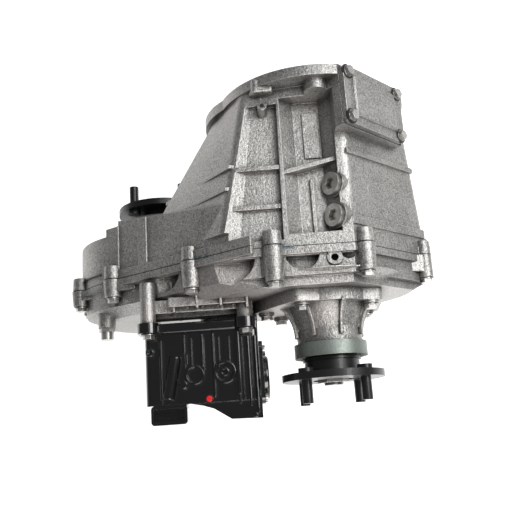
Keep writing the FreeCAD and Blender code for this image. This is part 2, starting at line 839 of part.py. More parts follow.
def top_additions():
    """Bosses and ribs that stand on the outside of the front case."""
    rim_boss = rod(-11, -24, 13, 0, -96)
    tube = Part.makeCylinder(5.5, 16, Vector(-27, 61, 74), Vector(-0.6, 0, 0.8))
    web = Part.makeBox(20, 5, 12)
    web.translate(Vector(-32, 58.5, 72))
    ribs = [rim_boss, tube, web]
    # the diagonal rib on the right, and the thin step behind it
    ribs.append(prism([(-30, 93), (-119, 9.5), (-113, 3.5), (-24, 87)], -92, -98))
    ribs.append(prism([(-30, 86.5), (-127, -3), (-121, -9), (-24, 80)], -168, -178.5))
    # ribs on the left wall
    for x, (y_top, z_top), (y_low, z_low) in (
        (-100.0, (103, 83), (190, -30)), (-126.0, (108, 83), (208, -36)),
    ):
        ribs.append(
            prism([(y_top - 6, z_top), (y_low, z_low - 8), (y_low + 1, z_low), (y_top + 1, z_top + 1)],
                  x, x - 4)
        )
    return ribs


def oblique_hole():
    """The drilled hole in the boss behind the rim."""
    return Part.makeCylinder(3.6, 16, Vector(-11, 0, 88), Vector(-0.7, 0, 0.7))


# ---------------------------------------------------------------- gears of the reduction

module = float(size.gearModule)
sun_teeth = int(size.sunTeeth)
planet_teeth = int(size.planetTeeth)
planet_count = int(size.planetCount)
ring_teeth = sun_teeth + 2 * planet_teeth
sun_pitch = sun_teeth * module / 2
planet_pitch = planet_teeth * module / 2
ring_pitch = ring_teeth * module / 2
ring_outer = ring_pitch + 1.25 * module + float(size.ringBack)
planet_orbit = sun_pitch + planet_pitch
gear_x = -float(size.gearDepth)
gear_width = float(size.gearWidth)
play = float(size.toothPlay)



def make_ring_gear():
    tip = ring_pitch - module
    root = ring_pitch + 1.25 * module
    half_tooth = math.pi / ring_teeth
    spaces = toothed(
        ring_teeth, module, root, tip - 1, -play, gear_x, gear_width + 2, half_tooth
    )
    blank = rod(gear_x + gear_width / 2, gear_x - gear_width / 2, ring_outer)
    bored = blank.cut(rod(gear_x + gear_width, gear_x - gear_width, tip))
    return bored.cut(spaces)


def make_input_shaft():
    """The hollow input shaft with the sun teeth, the high range hub and a splined bore."""
    radius = float(size.inputRadius)
    hub_front = -float(size.rangeSleeveDepth) + float(size.sleeveLength) / 2 + 8
    hub_back = -float(size.rangeSleeveDepth) + 6
    sun = toothed(
        sun_teeth, module, sun_pitch + module, sun_pitch - 1.25 * module, play,
        gear_x, gear_width - 1,
    )
    shaft = joined([rod(input_end, hub_back, radius), sun, rod(hub_front, hub_back, size.hubRadius)])
    lead_in = rod(0, input_end - float(size.leadInDepth), size.leadInRadius)
    bore = toothed(
        int(size.inputTeeth), 1.25, float(size.inputBore) + 1.25, float(size.inputBore),
        0.1, -24, 50,
    )
    pilot = rod(hub_back + 15, hub_back - 1, pilot_spigot + float(size.runningFit))
    return shaft.cut([bore, lead_in, pilot])


def make_carrier():
    """The planet carrier: two plates joined by posts between the planets."""
    half = gear_width / 2
    front = [gear_x + half + 1, gear_x + half + 6]
    back = [gear_x - half - 1, gear_x - half - 9]
    plate_radius = ring_pitch - module - 1.5
    bore = sun_pitch + module + 1
    parts = [rod(front[1], front[0], plate_radius), rod(back[0], back[1], plate_radius + 8)]
    for index in range(planet_count):
        angle = 360 / planet_count * (index + 0.5)
        parts.append(about_x(rod(front[1], back[1], 4.6, planet_orbit), angle))
    carrier = joined(parts).cut(rod(front[1] + 1, back[1] - 1, float(size.inputRadius) + 1.5))
    clearance = rod(front[0] + 0.1, back[0] - 0.1, bore)
    pins = []
    for index in range(planet_count):
        angle = 360 / planet_count * index
        pins.append(about_x(rod(front[1] + 1, back[1] - 1, planet_pin, planet_orbit), angle))
    return carrier.cut([clearance] + pins)


def make_planet_pins():
    half = gear_width / 2
    pins = []
    for index in range(planet_count):
        pin = rod(gear_x + half + 6, gear_x - half - 9, planet_pin, planet_orbit)
        pins.append(about_x(pin, 360 / planet_count * index))
    return Part.makeCompound(pins)


def make_planet(index):
    """One planet gear, turned so that it meshes with the sun and the ring."""
    angle = 360 / planet_count * index
    sun_phase = (sun_teeth * index / planet_count) % 1
    gear = toothed(
        planet_teeth, module, planet_pitch + module, planet_pitch - 1.25 * module, play,
        gear_x, gear_width,
    )
    gear = gear.cut(rod(gear_x + 20, gear_x - 20, planet_pin + float(size.runningFit)))
    gear = about_x(gear, 180 / planet_teeth * (1 + 2 * sun_phase) - angle)
    return about_x(shifted(gear, y=planet_orbit), angle)


planet_pin = 3.5
input_end = -7.0
pilot_spigot = 11.0


output_radius = size.shaftRadius - 2.5
groove_floor = float(size.sleeveRadius) - float(size.grooveDepth) + 0.3
sprocket_phase = math.radians(90 - float(size.axisDropAngle) + 180 / teeth_around)

# ---------------------------------------------------------------- chain drive

def sprocket_shape(x, side=0, drop=0, turn=0.0):
    """A silent chain sprocket: blunt teeth that stand in the middle of each link."""
    points = []
    step = 2 * math.pi / teeth_around
    root = sprocket_radius - 9
    tip = sprocket_radius - 3.4
    for index in range(teeth_around):
        middle = turn + step * index
        for offset, radius in ((-2.1 / root, root), (-0.8 / tip, tip), (0.8 / tip, tip), (2.1 / root, root)):
            points.append(
                (
                    side + radius * math.cos(middle + offset),
                    -drop + radius * math.sin(middle + offset),
                )
            )
    half = float(size.chainWidth) / 2
    return prism(points, x + half, x - half)


def link_plate(x, width):
    """One link plate about its own middle, length along Y, teeth downwards."""
    reach = float(size.chainPitch) / 2 + 3.9
    points = [
        (-reach, 0), (-8.6, -7), (-5, -7.4), (0, -1.4), (5, -7.4), (8.6, -7), (reach, 0),
        (8, 4.4), (-8, 4.4),
    ]
    return prism(points, x + width / 2, x - width / 2)


def make_chain():
    """Every link of the loop: single inner plates between pairs of outer plates."""
    side = float(front_side)
    drop = float(front_drop)
    pitch = float(size.chainPitch)
    free = int(size.freeLinks)
    x = -float(size.chainDepth)
    half = float(size.chainWidth) / 2
    plate = float(size.plateWidth)
    lean = math.atan2(-drop, side)
    step = 2 * math.pi / teeth_around
    middle = sprocket_radius * math.cos(step / 2)
    across = lean + math.pi / 2
    up = (math.cos(across), math.sin(across))
    places = []
    for index in range(teeth_around // 2):
        angle = across + step * (index + 0.5)
        places.append((middle * math.cos(angle), middle * math.sin(angle), angle))
    for index in range(free):
        along = pitch * (index + 0.5)
        for sign, turn in ((1, across), (-1, across + math.pi)):
            places.append(
                (
                    along * math.cos(lean) + sign * up[0] * sprocket_radius,
                    along * math.sin(lean) + sign * up[1] * sprocket_radius,
                    turn,
                )
            )
    for index in range(teeth_around // 2):
        angle = across - step * (index + 0.5)
        places.append(
            (side + middle * math.cos(angle), -drop + middle * math.sin(angle), angle)
        )
    inner_width = float(size.chainWidth) - 2 * plate - 0.4
    inner = link_plate(x, inner_width)
    outer = [link_plate(x + half - plate / 2, plate), link_plate(x - half + plate / 2, plate)]
    links = []
    ordered = sorted(places, key=lambda place: loop_position(place, lean))
    for index, (y, z, angle) in enumerate(ordered):
        plates = [inner] if index % 2 else outer
        for shape in plates:
            links.append(shifted(about_x(shape, math.degrees(angle) - 90), y=y, z=z))
    return Part.makeCompound(links)


def loop_position(place, lean):
    """How far round the loop a link lies, for ordering the links."""
    y, z, angle = place
    along = y * math.cos(lean) + z * math.sin(lean)
    across = -y * math.sin(lean) + z * math.cos(lean)
    apart = float(centre_distance)
    if 0 < along < apart:
        return along if across > 0 else 3 * apart - along
    if along >= apart:
        return apart + (1 - math.sin(angle - lean)) * apart / 2
    return 3 * apart + (1 + math.sin(angle - lean)) * apart / 2


# ---------------------------------------------------------------- rear castings

def make_rear_case():
    rim_back = float(rear_rim)
    back = float(rear_face)
    main = float(size.mainRadius)
    offset = float(size.offsetRadius)
    bearing = float(size.bearingOuter)
    rim = chain_case(split, split - 9, 0)
    body = hull_loft(split - 8, rim_back - 16, 3, 6).common(case_limits(split, back, 4))
    hump = hull_loft(rim_back - 16, back, 8, 26).common(case_limits(split, back, 10))
    offset_bowl = taper(rim_back - 10, back + 4, offset - 14, bearing + 12, front_side, front_drop)
    shapes = [
        rim, body, hump, offset_bowl,
        taper(rim_back - 10, back, main - 40, float(size.extensionRadius)),
        prism(extension_outline, rim_back, back, 9),
    ]
    # scoops in the top of the body, between the bosses
    scoops = []
    for x, y, radius, floor in scoop_places:
        scoop = Part.makeCylinder(radius, 60, Vector(x, y, floor))
        keep = Part.makeBox(200, 400, 400)
        keep.translate(Vector(split - 10 - 200, -150, -100))
        scoops.append(scoop.common(keep))
    shapes = [joined(shapes).cut(scoops)]
    # the ear with a hole under the rim
    ear = Part.makeCylinder(8.5, 11, Vector(-215, -6, 73))
    arm = Part.makeBox(15, 14, 11)
    arm.translate(Vector(-215, -13, 73))
    shapes.append(ear.fuse(arm))
    # pedestal round both rails and the bosses that carry the actuator
    plate = -float(size.actuatorDepth)
    shapes.append(prism(pedestal_outline(20), rim_back + 1, plate, 14))
    for left, up in actuator_bolt_places:
        shapes.append(rod(rim_back + 1, plate, size.bossRadius, left, -up))
    for y in (110, 128, 146, 164, 182):
        fin = prism([(y - 1.5, -10), (y + 1.5, -10), (y + 1.5, 20), (y - 1.5, 20)], rim_back, back - 6)
        shapes.append(fin)
    shapes.append(rod(rim_back + 1, switch_seat, 11, switch_left, switch_drop))
    shapes += split_bosses("rear")
    case = joined(shapes)
    bores = [
        chain_case(split + 1, split - 9, wall_thickness + 5),
        rod(split, back - 1, bearing),
        rod(split, float(bearing_fronts["front_aft"]) - float(size.bearingWidth), bearing,
            front_side, front_drop),
        Part.makeCylinder(4, 20, Vector(-215, -6, 70)),
    ]
    fit = float(size.runningFit)
    for left, drop in rail_places:
        bores.append(rod(split, plate - 1, float(size.railRadius) + fit, left, drop))
    for left, up, behind, before in case_bolt_places:
        bores.append(rod(split + 1, split - behind - 1, float(size.boltRadius), left, -up))
        bores.append(rod(split - behind, split - behind - 9, 8.8, left, -up))
    for left, up in extension_bolt_places:
        bores.append(rod(back + 16, back - 1, size.boltRadius, left, -up))
    for left, up in actuator_bolt_places:
        bores.append(rod(plate + 18, plate - 1, size.boltRadius, left, -up))
    bores.append(rod(switch_seat + 14, switch_seat - 1, 6, switch_left, switch_drop))
    return case.cut(bores)


scoop_places = [
    (-208.0, 108.0, 27.0, 66.0), (-207.0, 29.0, 19.0, 70.0), (-207.0, -22.0, 10.0, 68.0),
    (-208.0, 190.0, 20.0, 15.0), (-206.0, 228.0, 13.0, -8.0),
]
extension_bolt_places = [(32, 46), (-48, 28), (72, -10), (-52, -44), (8, -68), (54, -52)]
extension_outline = [(-62, 34), (40, 62), (88, -6), (64, -68), (10, -84), (-68, -52)]
actuator_bolt_places = [(211, 14), (98, 14), (150, -88)]
switch_left = 276.0
switch_drop = 62.0
switch_seat = -252.0


def pedestal_outline(radius):
    """Outline round both rails."""
    (left_a, drop_a), (left_b, drop_b) = rail_places
    return [
        (left_a - radius, -drop_a - radius), (left_b + radius, -drop_b - radius + 6),
        (left_b + radius, -drop_b + radius), (left_a - radius, -drop_a + radius),
    ]


def make_extension():
    front = float(rear_face)
    back = float(nose)
    flange_back = front - float(size.extensionFlange)
    radius = float(size.noseRadius)
    shapes = [
        rod(front, flange_back, float(size.extensionRadius) - 4),
        prism(extension_outline, front, flange_back, 9),
        taper(flange_back + 1, back + 16, float(size.extensionRadius) - 12, radius),
        rod(back + 17, back, radius),
        rod(back + 1, back - float(size.dustRingWidth) + 3, size.noseSleeveRadius),
    ]
    for left, up in extension_bolt_places:
        shapes.append(rod(front, flange_back - 3, 9.5, left, -up))
    rib = float(size.ribWidth)
    reach = float(size.extensionRadius) - 3
    rib_front = flange_back - 1
    rib_back = back + 15
    curve = []
    for step in range(7):
        share = step / 6
        height = radius + 1.5 + (reach - radius - 1.5) * (1 - share) ** 2.4
        curve.append(Vector(rib_front + (rib_back - rib_front) * share, 0, height))
    for angle in range(15, 375, 45):
        outline = curve + [Vector(rib_back, 0, 30), Vector(rib_front + 2, 0, 30), Vector(rib_front + 2, 0, reach)]
        face = Part.Face(Part.makePolygon(outline + outline[:1]))
        web = face.extrude(Vector(0, rib, 0))
        shapes.append(about_x(shifted(web, y=-rib / 2), angle))
    seal_front = back
    bores = [
        rod(front + 1, seal_front + 1, radius - 8),
        rod(seal_front + 2, back - 30, size.rearSealRadius),
    ]
    for left, up in extension_bolt_places:
        bores.append(rod(front + 1, flange_back - 4, float(size.boltRadius) + 0.5, left, -up))
        bores.append(rod(flange_back - 3, flange_back - 12, 8.8, left, -up))
    return joined(shapes).cut(bores)


# ---------------------------------------------------------------- fasteners

def make_case_bolts():
    bolts = []
    for left, up, behind, before in case_bolt_places:
        length = behind + before - 4
        bolts.append(bolt(split - behind, length, left, -up))
    return Part.makeCompound(bolts)


def make_extension_bolts():
    seat = float(rear_face) - float(size.extensionFlange) - 3
    return Part.makeCompound(
        [bolt(seat, 28, left, -up) for left, up in extension_bolt_places]
    )


def make_actuator_bolts():
    seat = -float(size.actuatorDepth) - float(size.actuatorPlate)
    bolts = []
    for left, up in actuator_bolt_places:
        head = bolt(seat, float(size.actuatorPlate) + 14, left, -up)
        bolts.append(head)
    return Part.makeCompound(bolts)


def make_cover_plate():
    """The slanted cover: a rim with a raised middle and four holes."""
    height = float(size.padHeight) + float(size.gasketThickness)
    length = float(size.coverLength)
    width = float(size.coverWidth)
    thick = float(size.coverThickness)
    rim = Part.makeBox(length, width, thick)
    rim = rim.makeFillet(7, [e for e in rim.Edges if abs(e.tangentAt(0).z) > 0.9])
    raised = Part.makeBox(length - 22, width - 30, 3)
    raised.translate(Vector(11, 15, thick))
    raised = raised.makeChamfer(2, [e for e in raised.Edges if e.CenterOfMass.z > thick + 2.9])
    plate = rim.fuse(raised)
    plate.translate(Vector(cover_front - length, slant_centre - width / 2, height))
    plate.rotate(Vector(0, 0, 0), Vector(1, 0, 0), 45)
    holes = []
    for x, across in cover_corners(8):
        holes.append(Part.makeCylinder(3.2, 30, on_slant(x, across, height - 10), slant_normal))
    return plate.cut(holes)


def make_cover_gasket():
    height = float(size.padHeight)
    length = float(size.coverLength)
    width = float(size.coverWidth)
    sheet_shape = Part.makeBox(length, width, size.gasketThickness)
    middle = Part.makeBox(length - 28, width - 34, 10)
    middle.translate(Vector(14, 17, -5))
    gasket = sheet_shape.cut(middle)
    gasket.translate(Vector(cover_front - length, slant_centre - width / 2, height))
    gasket.rotate(Vector(0, 0, 0), Vector(1, 0, 0), 45)
    holes = []
    for x, across in cover_corners(8):
        holes.append(Part.makeCylinder(3.2, 30, on_slant(x, across, height - 10), slant_normal))
    return gasket.cut(holes)


def make_cover_bolts():
    """Four small bolts drawn along X and swung onto the slanted cover."""
    seat = float(size.padHeight) + float(size.gasketThickness) + float(size.coverThickness)
    bolts = []
    for x, across in cover_corners(8):
        head = Part.makeCylinder(6.6, 1.4, Vector(0, 0, 0), Vector(0, 0, 1))
        hexagonal = shifted(hexagon(0, -5.5, 10, 0, 0), x=5.5)
        hexagonal.rotate(Vector(0, 0, 0), Vector(0, 1, 0), -90)
        shank = Part.makeCylinder(3, 20, Vector(0, 0, -20), Vector(0, 0, 1))
        piece = head.fuse([hexagonal, shank]).removeSplitter()
        piece.rotate(Vector(0, 0, 0), Vector(1, 0, 0), 45)
        piece.translate(on_slant(x, across, seat))
        bolts.append(piece)
    return Part.makeCompound(bolts)


def make_bearings(part_of_ring):
    """The outer rings or the rollers of all four bearings."""
    outer = float(size.bearingOuter)
    inner = float(size.inputRadius)
    pitch = (outer + inner) / 2
    roller = float(size.rollerRadius)
    width = float(size.bearingWidth)
    fit = float(size.runningFit)
    shapes = []
    for name, front in bearing_fronts.items():
        side, drop = (front_side, front_drop) if name.startswith("front") else (0, 0)
        front = float(front)
        if part_of_ring == "outer":
            ring = rod(front, front - width, outer, side, drop)
            shapes.append(ring.cut(rod(front + 1, front - width - 1, pitch + roller + fit, side, drop)))
        else:
            count = int(size.rollerCount)
            for index in range(count):
                angle = 2 * math.pi * index / count
                y = float(side) + pitch * math.cos(angle)
                z = -float(drop) + pitch * math.sin(angle)
                shapes.append(rod(front - 2, front - width + 2, roller, y, -z))
    return Part.makeCompound(shapes)


def inner_ring_profile(front):
    """Half section of a bearing's inner ring."""
    outer = (size.bearingOuter + size.inputRadius) / 2 - size.rollerRadius - size.runningFit
    back = front - size.bearingWidth
    return [(front, size.inputRadius), (front, outer), (back, outer), (back, size.inputRadius)]


def flange_profile(start, shoulder, disc, towards):
    """Half section of an output flange, from its seal land to its disc."""
    back = disc + towards * size.flangeThickness
    recess = back - towards * 6
    return [
        (start, size.splineRadius), (start, size.sealLandRadius), (shoulder, size.sealLandRadius),
        (shoulder, size.hubNeckRadius + 2), (shoulder + towards * 4, size.hubNeckRadius + 2),
        (shoulder + towards * 4, size.hubNeckRadius), (disc, size.hubNeckRadius),
        (disc, size.flangeRadius), (back, size.flangeRadius), (back, size.sealLandRadius),
        (recess, size.sealLandRadius), (recess, size.splineRadius),
    ]


def flange_studs(disc, towards, side=0, drop=0):
    """Four studs pressed into a flange, heads on the case side."""
    studs = []
    disc = float(disc)
    thick = float(size.flangeThickness)
    radius = float(size.studRadius)
    length = float(size.studLength)
    for index in range(4):
        angle = math.radians(45 + 90 * index)
        y = float(side) + float(size.studCircle) / 2 * math.cos(angle)
        z = -float(drop) + float(size.studCircle) / 2 * math.sin(angle)
        shank = rod(*ends(disc, towards * (thick + length)), radius, y, -z)
        seat = rod(*ends(disc, towards * thick), size.knurlRadius, y, -z)
        head = rod(*ends(disc, -towards * 5), radius + 2.6, y, -z)
        studs.append(joined([shank, seat, head]))
    return Part.makeCompound(studs)


def nut(seat, towards, side=0, drop=0):
    """The flange nut on the end of an output shaft."""
    front, back = ends(float(seat), towards * 9)
    shape = hexagon(front, back, 32, float(side), float(drop))
    bore = rod(front + 1, back - 1, nut_thread, side, drop)
    return shape.cut(bore)


nut_thread = 11.0


# ---------------------------------------------------------------- shift mechanism

def make_rail(place, front, back):
    """A shift rail with its rack at the back."""
    left, drop = place
    radius = float(size.railRadius)
    rail = rod(front, back, radius, left, drop)
    rack_root = radius - 4.4
    gap = Part.makeBox(rack_length, 4 * radius, radius)
    gap.translate(Vector(rack_middle - rack_length / 2, left - 2 * radius, -drop - rack_root - radius))
    rail = rail.cut(gap)
    pitch = math.pi * float(size.pinionModule)
    line = rack_line
    modulus = float(size.pinionModule)
    lean = math.tan(math.radians(25))
    teeth = []
    half = pitch / 4 - play / math.cos(math.radians(25))
    count = int(rack_length / pitch / 2)
    for index in range(-count, count + 1):
        x = rack_middle + pitch * index
        root_half = half + (line - rack_root) * lean
        tip_half = half - modulus * lean
        tip = line + modulus
        outline = [
            Vector(x - root_half, left - 4, -drop - rack_root + 0.01),
            Vector(x - tip_half, left - 4, -drop - tip),
            Vector(x + tip_half, left - 4, -drop - tip),
            Vector(x + root_half, left - 4, -drop - rack_root + 0.01),
        ]
        face = Part.Face(Part.makePolygon(outline + outline[:1]))
        teeth.append(face.extrude(Vector(0, 8, 0)))
    inside = rod(front, back, radius, left, drop)
    teeth = [tooth.common(inside) for tooth in teeth]
    return joined([rail] + teeth)


rack_middle = -318.0
rack_length = 46.0
rack_line = 4.5
pinion_radius = float(size.pinionTeeth) * float(size.pinionModule) / 2


def make_pinion(place, reach_right, reach_left):
    """A pinion under its rail, on a short shaft along Y."""
    left, drop = place
    modulus = float(size.pinionModule)
    gear = toothed(
        int(size.pinionTeeth), modulus, pinion_radius + modulus, pinion_radius - 1.25 * modulus,
        play, 0, 8, math.pi / 2 + math.pi / int(size.pinionTeeth),
    )
    shaft = rod(reach_left, -reach_right, 5)
    shape = gear.fuse(shaft).removeSplitter()
    shape.rotate(Vector(0, 0, 0), Vector(0, 0, 1), 90)
    shape.translate(Vector(rack_middle, left, -drop - rack_line - pinion_radius))
    return shape


def make_fork(place, x, inner_radius, guide=None):
    """A shift fork: a collar on its rail, a half ring in the groove, maybe a guide."""
    left, drop = place
    thick = float(size.forkThickness)
    radius = float(size.railRadius)
    reach = math.hypot(left, drop)
    half = thick / 2
    collar = rod(x + thick * 1.2, x - thick * 1.2, radius + 6, reach)
    edge = inner_radius + 4
    arm = prism([(edge, -9), (reach, -11), (reach, 11), (edge, 9)], x + half, x - half)
    ring = rod(x + half, x - half, inner_radius + 10)
    ring = ring.common(prism([(-2, -90), (90, -90), (90, 90), (-2, 90)], x + 10, x - 10))
    fork = joined([collar, arm, ring])
    fork = fork.cut([rod(x + 20, x - 20, inner_radius), rod(x + 20, x - 20, radius, reach)])
    fork = about_x(fork, math.degrees(math.atan2(-drop, left)))
    if guide:
        fork = fork.fuse(rod(x + half, x - half, radius + 5, *guide))
        fork = fork.cut(rod(x + 20, x - 20, radius + float(size.runningFit), *guide))
    return fork


def sleeve_profile(x):
    """Half section of a shift sleeve with its fork groove."""
    front = x + size.sleeveLength / 2
    back = x - size.sleeveLength / 2
    bore = size.hubRadius + size.runningFit
    floor = size.sleeveRadius - size.grooveDepth
    lip = size.grooveWidth / 2
    return [
        (front, bore), (front, size.sleeveRadius), (x + lip, size.sleeveRadius), (x + lip, floor),
        (x - lip, floor), (x - lip, size.sleeveRadius), (back, size.sleeveRadius), (back, bore),
    ]


# ---------------------------------------------------------------- actuator

cover_screws = [(x, z) for x in (-354.0, -298.0) for z in (-59.0, -12.0)]


def flat_prism(points, low, high):
    """A polygon seen from above, given as (x, y), drawn out along Z."""
    corners = [Vector(x, y, low) for x, y in points]
    return Part.Face(Part.makePolygon(corners + corners[:1])).extrude(Vector(0, 0, high - low))


def make_actuator_housing():
    """The moulded housing behind its plate, hollow, with webs for the pinions."""
    plate_front = -float(size.actuatorDepth)
    plate_back = plate_front - float(size.actuatorPlate)
    back = plate_back - float(size.actuatorLength)
    tail_back = back - float(size.actuatorTail)
    right = float(size.actuatorRight)
    left = right + float(size.actuatorWidth)
    top = float(size.actuatorTop)
    bottom = top - float(size.actuatorHeight)
    wall = float(size.actuatorWall)
    outline = [(right, bottom), (left, bottom), (left, top), (right, top)]
    room = [
        (right + wall, bottom + wall), (left - wall, bottom + wall), (left - wall, top - wall),
        (right + wall, top - wall),
    ]
    tail = [
        (back + 4, left - 52), (back, left - 52), (back - 3, left - 66), (back - 7, left - 78),
        (tail_back + 1, left - 98), (tail_back, right), (back + 4, right),
    ]
    tail_room = [
        (back + 8, left - 58), (back, left - 60), (back - 3, left - 81),
        (tail_back + wall + 1, left - 102), (tail_back + wall, right + wall), (back + 8, right + wall),
    ]
    shapes = [
        prism(outline, plate_back + 1, back, 8),
        prism(outline, plate_front, plate_back, 8),
        flat_prism(tail, bottom + 8, top - 1),
    ]
    for left_side, up in actuator_bolt_places:
        shapes.append(rod(plate_front, plate_back, 12.5, left_side, -up))
        foot = 10 if up > 0 else -10
        low, high = sorted((up, up - foot * 2))
        bridge = [(left_side - 12.5, low), (left_side + 12.5, low), (left_side + 12.5, high),
                  (left_side - 12.5, high)]
        shapes.append(prism(bridge, plate_front, plate_back))
    inner = prism(room, plate_back, back + wall, 5)
    inner = inner.fuse(flat_prism(tail_room, bottom + 8 + wall, top - 1 - wall))
    webs = []
    for side, reach in ((116.0, 5), (146.0, 5)):
        web = [(side, bottom), (side + reach, bottom), (side + reach, -30), (side, -30)]
        webs.append(prism(web, rack_middle + 18, rack_middle - 18))
    inner = inner.cut(webs)
    housing = joined(shapes + top_mouldings(top)).cut(inner)
    fit = float(size.runningFit)
    bores = []
    for left_side, drop in rail_places:
        bores.append(
            rod(plate_front + 1, plate_back - 1, float(size.railRadius) + fit, left_side, drop)
        )
        height = -drop - rack_line - pinion_radius
        first = left_side == rail_places[0][0]
        near, far = (right + 1.5, 120.0) if first else (117.0, 150.0)
        start = Vector(rack_middle, near, height)
        bores.append(Part.makeCylinder(5 + fit, far - near, start, Vector(0, 1, 0)))
    for left_side, up in actuator_bolt_places:
        bores.append(
            rod(plate_front + 1, plate_back - 1, float(size.boltRadius) + 0.4, left_side, -up)
        )
    for x, z in cover_screws:
        bores.append(Part.makeCylinder(2, 9, Vector(x, right - 1, z), Vector(0, 1, 0)))
    return housing.cut(bores)


def top_mouldings(top):
    """Ribs, rings and bosses on the top of the actuator's housing."""
    upwards = Vector(0, 0, 1)
    shapes = []
    front = -float(size.actuatorDepth) - float(size.actuatorPlate)
    for y, length, height in (
        (199, 74, 2.4), (171, 34, 2), (163, 36, 2.4), (149, 38, 2.4), (137, 62, 2),
        (131, 34, 2), (119, 30, 2), (109, 78, 3), (104, 74, 2), (94, 60, 2),
    ):
        rib = Part.makeBox(length, 1.8, height + 2)
        rib.translate(Vector(front - length - 7, y - 0.9, top - 2))
        shapes.append(rib)
    for x, y, outer, inner, height in (
        (-324.5, 160, 11, 8.5, 2.6), (-323.5, 125, 13, 9, 3.2), (-323.5, 125, 5, 2.4, 4),
        (-295.5, 211, 4.5, 2.2, 2.5), (-335, 173.5, 5.5, 0, 3), (-353, 144, 4.5, 0, 1.2),
    ):
        ring = Part.makeCylinder(outer, height + 2, Vector(x, y, top - 2), upwards)
        if inner:
            ring = ring.cut(Part.makeCylinder(inner, 9, Vector(x, y, top - 0.5), upwards))
        shapes.append(ring)
    lying = Vector(-49, 10, 0)
    shapes.append(Part.makeCylinder(6.5, lying.Length, Vector(-302, 181.5, top - 1.5), lying))
    return shapes


def make_actuator_cover():
    """The bulged cover on the right side of the actuator."""
    right = float(size.actuatorRight)
    top = float(size.actuatorTop)
    middle_z = top - float(size.actuatorHeight) / 2
    plate = Part.makeBox(74, 4, 64)
    plate.translate(Vector(-362, right - 4, middle_z - 32))
    plate = plate.makeFillet(9, [e for e in plate.Edges if abs(e.tangentAt(0).y) > 0.9])
    bulge = Part.makeCylinder(26, 6, Vector(-330, right - 10, middle_z), Vector(0, 1, 0))
    bulge = bulge.makeFillet(3, [e for e in bulge.Edges if e.CenterOfMass.y < right - 9])
    holes = [Part.makeCylinder(2, 9, Vector(x, right - 6, z), Vector(0, 1, 0)) for x, z in cover_screws]
    return plate.fuse(bulge).removeSplitter().cut(holes)


def make_connector():
    """The connector shroud at the back of the actuator, its mouth upwards."""
    left = float(size.actuatorRight) + float(size.actuatorWidth)
    back = -float(size.actuatorDepth) - float(size.actuatorPlate) - float(size.actuatorLength)
    top = float(size.actuatorTop) - 5
    shell = Part.makeBox(22, 42, 28)
    shell.translate(Vector(back - 22, left - 47, top - 28))
    shell = shell.makeFillet(4, [e for e in shell.Edges if abs(e.tangentAt(0).z) > 0.9])
    mouth = Part.makeBox(15, 36, 20)
    mouth.translate(Vector(back - 19, left - 44, top - 16))
    shell = shell.cut(mouth)
    pins = []
    for row in (-15, -8):
        for column in range(6):
            pin = Part.makeBox(1.2, 1.2, 8)
            pin.translate(Vector(back + row, left - 40.5 + column * 5.6, top - 16.5))
            pins.append(pin)
    return joined([shell] + pins)


def make_motor():
    """The shift motor's can, lying in the actuator."""
    radius = 21.0
    bottom = float(size.actuatorTop) - float(size.actuatorHeight) + float(size.actuatorWall)
    middle = float(size.actuatorRight) + float(size.actuatorWidth) - float(size.actuatorWall) - radius
    front = -float(size.actuatorDepth) - float(size.actuatorPlate) - 3
    can = rod(front - 10, front - 72, radius, middle, -bottom - radius)
    nose_part = rod(front, front - 12, 9, middle, -bottom - radius)
    return can.fuse(nose_part).removeSplitter()


def make_actuator_screws():
    """Screws that hold the side cover."""
    right = float(size.actuatorRight)
    screws = []
    for x, z in cover_screws:
        head = Part.makeCylinder(4.5, 3, Vector(x, right - 7, z), Vector(0, 1, 0))
        shank = Part.makeCylinder(2, 8, Vector(x, right - 4, z), Vector(0, 1, 0))
        screws.append(head.fuse(shank).removeSplitter())
    return Part.makeCompound(screws)


def make_detent_plugs():
    """Two hexagon socket plugs on the pocket's right wall."""
    plugs = []
    for x in plug_places:
        body = Part.makeCylinder(plug_radius, 9, Vector(0, 0, 0), Vector(0, 0, 1))
        socket = hexagon(10, 3, 12, 0, 0)
        socket.rotate(Vector(0, 0, 0), Vector(0, 1, 0), -90)
        plug = body.cut(socket)
        plug.rotate(Vector(0, 0, 0), Vector(1, 0, 0), -math.degrees(plug_lean))
        plug.translate(plug_seat(x))
        plugs.append(plug)
    return Part.makeCompound(plugs)


def make_breather():
    """The breather nipple in the outer edge of the cover's pad."""
    return breather_tube(9)


def make_position_switch():
    """The switch screwed into the boss at the left end of the rear case."""
    stem = rod(switch_seat + 12, switch_seat, 6, switch_left, switch_drop)
    collar = hexagon(switch_seat, switch_seat - 5, 18, switch_left, switch_drop)
    tip = rod(switch_seat - 5, switch_seat - 15, 8, switch_left, switch_drop)
    return joined([stem, collar, tip])


def make_drain_plug():
    """The drain plug on the front of the chain case."""
    left, up = drain_place
    seat = float(shelf) + 2
    head = hexagon(seat + 8, seat, 17, left, -up)
    collar = rod(seat + 2, seat, 11, left, -up)
    shank = rod(seat, shelf - 6, drain_radius, left, -up)
    return joined([head, collar, shank])


def make_strainer():
    """The oil strainer, a flat box on its seat in the chain room."""
    box = Part.makeBox(strainer_length, 2 * strainer_half, 12)
    box.translate(Vector(strainer_back, -strainer_half, strainer_floor))
    return box


# ---------------------------------------------------------------- the assembly

